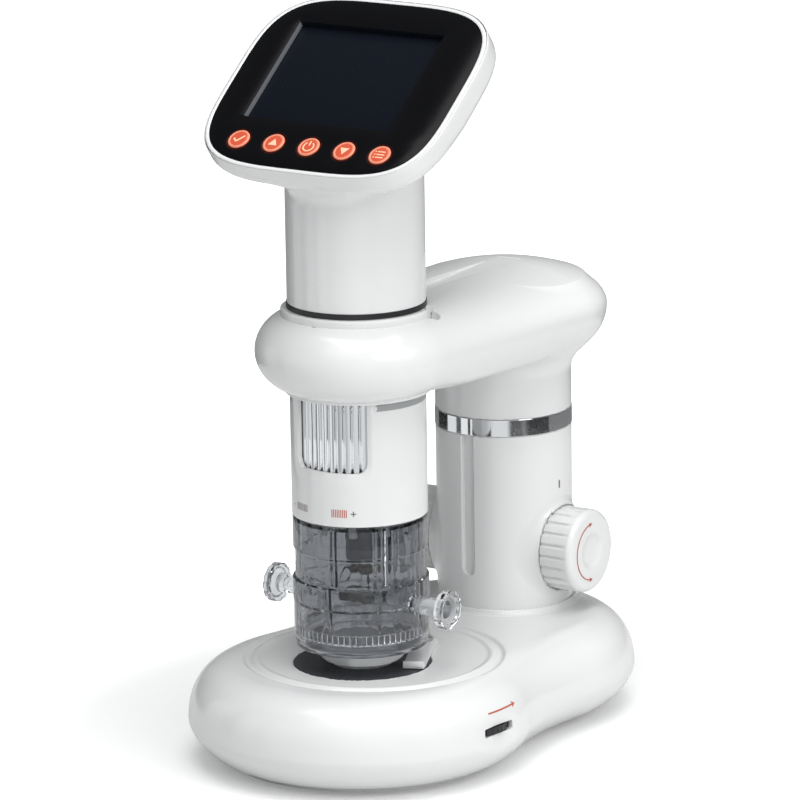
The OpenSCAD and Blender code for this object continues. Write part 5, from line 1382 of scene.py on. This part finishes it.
def build_stage():
    v = [(-3, -3, -0.0005), (3, -3, -0.0005), (3, 3, -0.0005), (-3, 3, -0.0005)]
    floor = mesh_object("floor", v, [(0, 1, 2, 3)], metres=True)
    m, nt, bsdf = new_material("floor_white")
    nt.nodes.remove(bsdf)
    out = [n for n in nt.nodes if n.type == "OUTPUT_MATERIAL"][0]
    diffuse = nt.nodes.new("ShaderNodeBsdfDiffuse")
    diffuse.inputs["Color"].default_value = (*FLOOR, 1)
    glow = nt.nodes.new("ShaderNodeEmission")
    add = nt.nodes.new("ShaderNodeAddShader")
    path = nt.nodes.new("ShaderNodeLightPath")
    mul = nt.nodes.new("ShaderNodeMath")
    mul.operation = "MULTIPLY"
    # the paper glows more with its distance from the object, as a lit sweep does
    tc = nt.nodes.new("ShaderNodeTexCoord")
    far = nt.nodes.new("ShaderNodeVectorMath")
    far.operation = "LENGTH"
    nt.links.new(tc.outputs["Object"], far.inputs[0])
    mr = nt.nodes.new("ShaderNodeMapRange")
    for key, value in zip(("From Min", "From Max", "To Min", "To Max"), (0.12, 0.24, GLOW, 1.0)):
        mr.inputs[key].default_value = value
    nt.links.new(far.outputs["Value"], mr.inputs["Value"])
    nt.links.new(mr.outputs[0], mul.inputs[1])
    nt.links.new(path.outputs["Is Camera Ray"], mul.inputs[0])
    nt.links.new(mul.outputs[0], glow.inputs["Strength"])
    nt.links.new(diffuse.outputs[0], add.inputs[0])
    nt.links.new(glow.outputs[0], add.inputs[1])
    nt.links.new(add.outputs[0], out.inputs[0])
    floor.data.materials.append(m)

    world = bpy.data.worlds.new("studio")
    bpy.context.scene.world = world
    world.use_nodes = True
    nt = world.node_tree
    nt.nodes.clear()
    out = nt.nodes.new("ShaderNodeOutputWorld")
    white, dim = nt.nodes.new("ShaderNodeBackground"), nt.nodes.new("ShaderNodeBackground")
    dim.inputs["Color"].default_value = (0.93, 0.98, 1.0, 1)
    dim.inputs["Strength"].default_value = WORLD
    mix = nt.nodes.new("ShaderNodeMixShader")
    path = nt.nodes.new("ShaderNodeLightPath")
    seen = nt.nodes.new("ShaderNodeMath")
    seen.operation = "MAXIMUM"
    nt.links.new(path.outputs["Is Camera Ray"], seen.inputs[0])
    nt.links.new(path.outputs["Is Transmission Ray"], seen.inputs[1])
    nt.links.new(seen.outputs[0], mix.inputs[0])
    nt.links.new(dim.outputs[0], mix.inputs[1])
    nt.links.new(white.outputs[0], mix.inputs[2])
    nt.links.new(mix.outputs[0], out.inputs[0])

    for name, az, el, dist, wide, high, energy in LAMPS:
        data = bpy.data.lights.new(name, "AREA")
        data.shape = "RECTANGLE"
        data.size, data.size_y, data.energy = wide, high, energy
        ob = bpy.data.objects.new(name, data)
        a, e = math.radians(az), math.radians(el)
        way = Vector((math.sin(a) * math.cos(e), -math.cos(a) * math.cos(e), math.sin(e)))
        ob.location = Vector((0, 0, 0.12)) + way * dist
        ob.rotation_mode = "QUATERNION"
        ob.rotation_quaternion = (-way).to_track_quat("-Z", "Y")
        bpy.context.scene.collection.objects.link(ob)

    # grey, black and white studio cards round the object, which only its reflections show
    card, nt, bsdf = new_material("studio_cards")
    nt.nodes.remove(bsdf)
    out = [n for n in nt.nodes if n.type == "OUTPUT_MATERIAL"][0]
    glow = nt.nodes.new("ShaderNodeEmission")
    tone = nt.nodes.new("ShaderNodeAttribute")
    tone.attribute_name = "tone"
    nt.links.new(tone.outputs["Color"], glow.inputs["Color"])
    nt.links.new(glow.outputs[0], out.inputs[0])
    card.cycles.emission_sampling = "NONE"
    az, tones = [], []
    for (a, v), (a2, v2) in zip(CARDS, CARDS[1:] + [(CARDS[0][0] + 360, CARDS[0][1])]):
        k = max(1, int((a2 - a) / 3))
        for i in range(k):
            az.append(math.radians(a + (a2 - a) * i / k))
            tones.append(v + (v2 - v) * i / k)
    n = len(az)
    v = [(0.4 * math.sin(a), 0.059 - 0.4 * math.cos(a), z) for z in (0.0, 0.24) for a in az]
    faces = [(i, (i + 1) % n, n + (i + 1) % n, n + i) for i in range(n)]
    ob = mesh_object("studio_cards", v, faces, metres=True)
    layer = ob.data.color_attributes.new("tone", "FLOAT_COLOR", "POINT")
    for i in range(2 * n):
        t = tones[i % n]
        layer.data[i].color = (t * 0.98, t, t, 1)
    ob.data.materials.append(card)
    for flag in ("camera", "diffuse", "transmission", "volume_scatter", "shadow"):
        setattr(ob, "visible_" + flag, False)


def build_camera():
    az, pitch, roll = math.radians(33.519), math.radians(13.79), math.radians(-0.888)
    forward = Vector((-math.sin(az) * math.cos(pitch), math.cos(az) * math.cos(pitch), -math.sin(pitch)))
    right = Vector((math.cos(az), math.sin(az), 0))
    up = right.cross(forward)
    r = right * math.cos(roll) + up * math.sin(roll)
    u = -right * math.sin(roll) + up * math.cos(roll)
    cam = bpy.data.cameras.new("camera")
    cam.sensor_width = 36.0
    cam.lens = 5687.5 / 800 * 36.0
    cam.clip_start, cam.clip_end = 0.05, 20.0
    ob = bpy.data.objects.new("camera", cam)
    m = Matrix((r, u, -forward)).transposed().to_4x4()
    m.translation = Vector((1.0726, -1.5930 + TUBE_Y * MM, 0.5994))
    ob.matrix_world = m
    bpy.context.scene.collection.objects.link(ob)
    bpy.context.scene.camera = ob


random.seed(7)
build_camera()
build_base()
build_column()
build_arm()
build_collar()
build_barrel()
build_head()
build_bezel()
build_face()
build_keys()
build_focus_ring()
build_band()
build_knob(1)
build_knob(-1)
build_chamber()
build_chamber_lens()
build_lamp_guides()
build_specimen()
build_insect()
build_clip()
build_prints()
paint_nodes()
build_stage()

bpy.context.scene.view_settings.view_transform = "Standard"
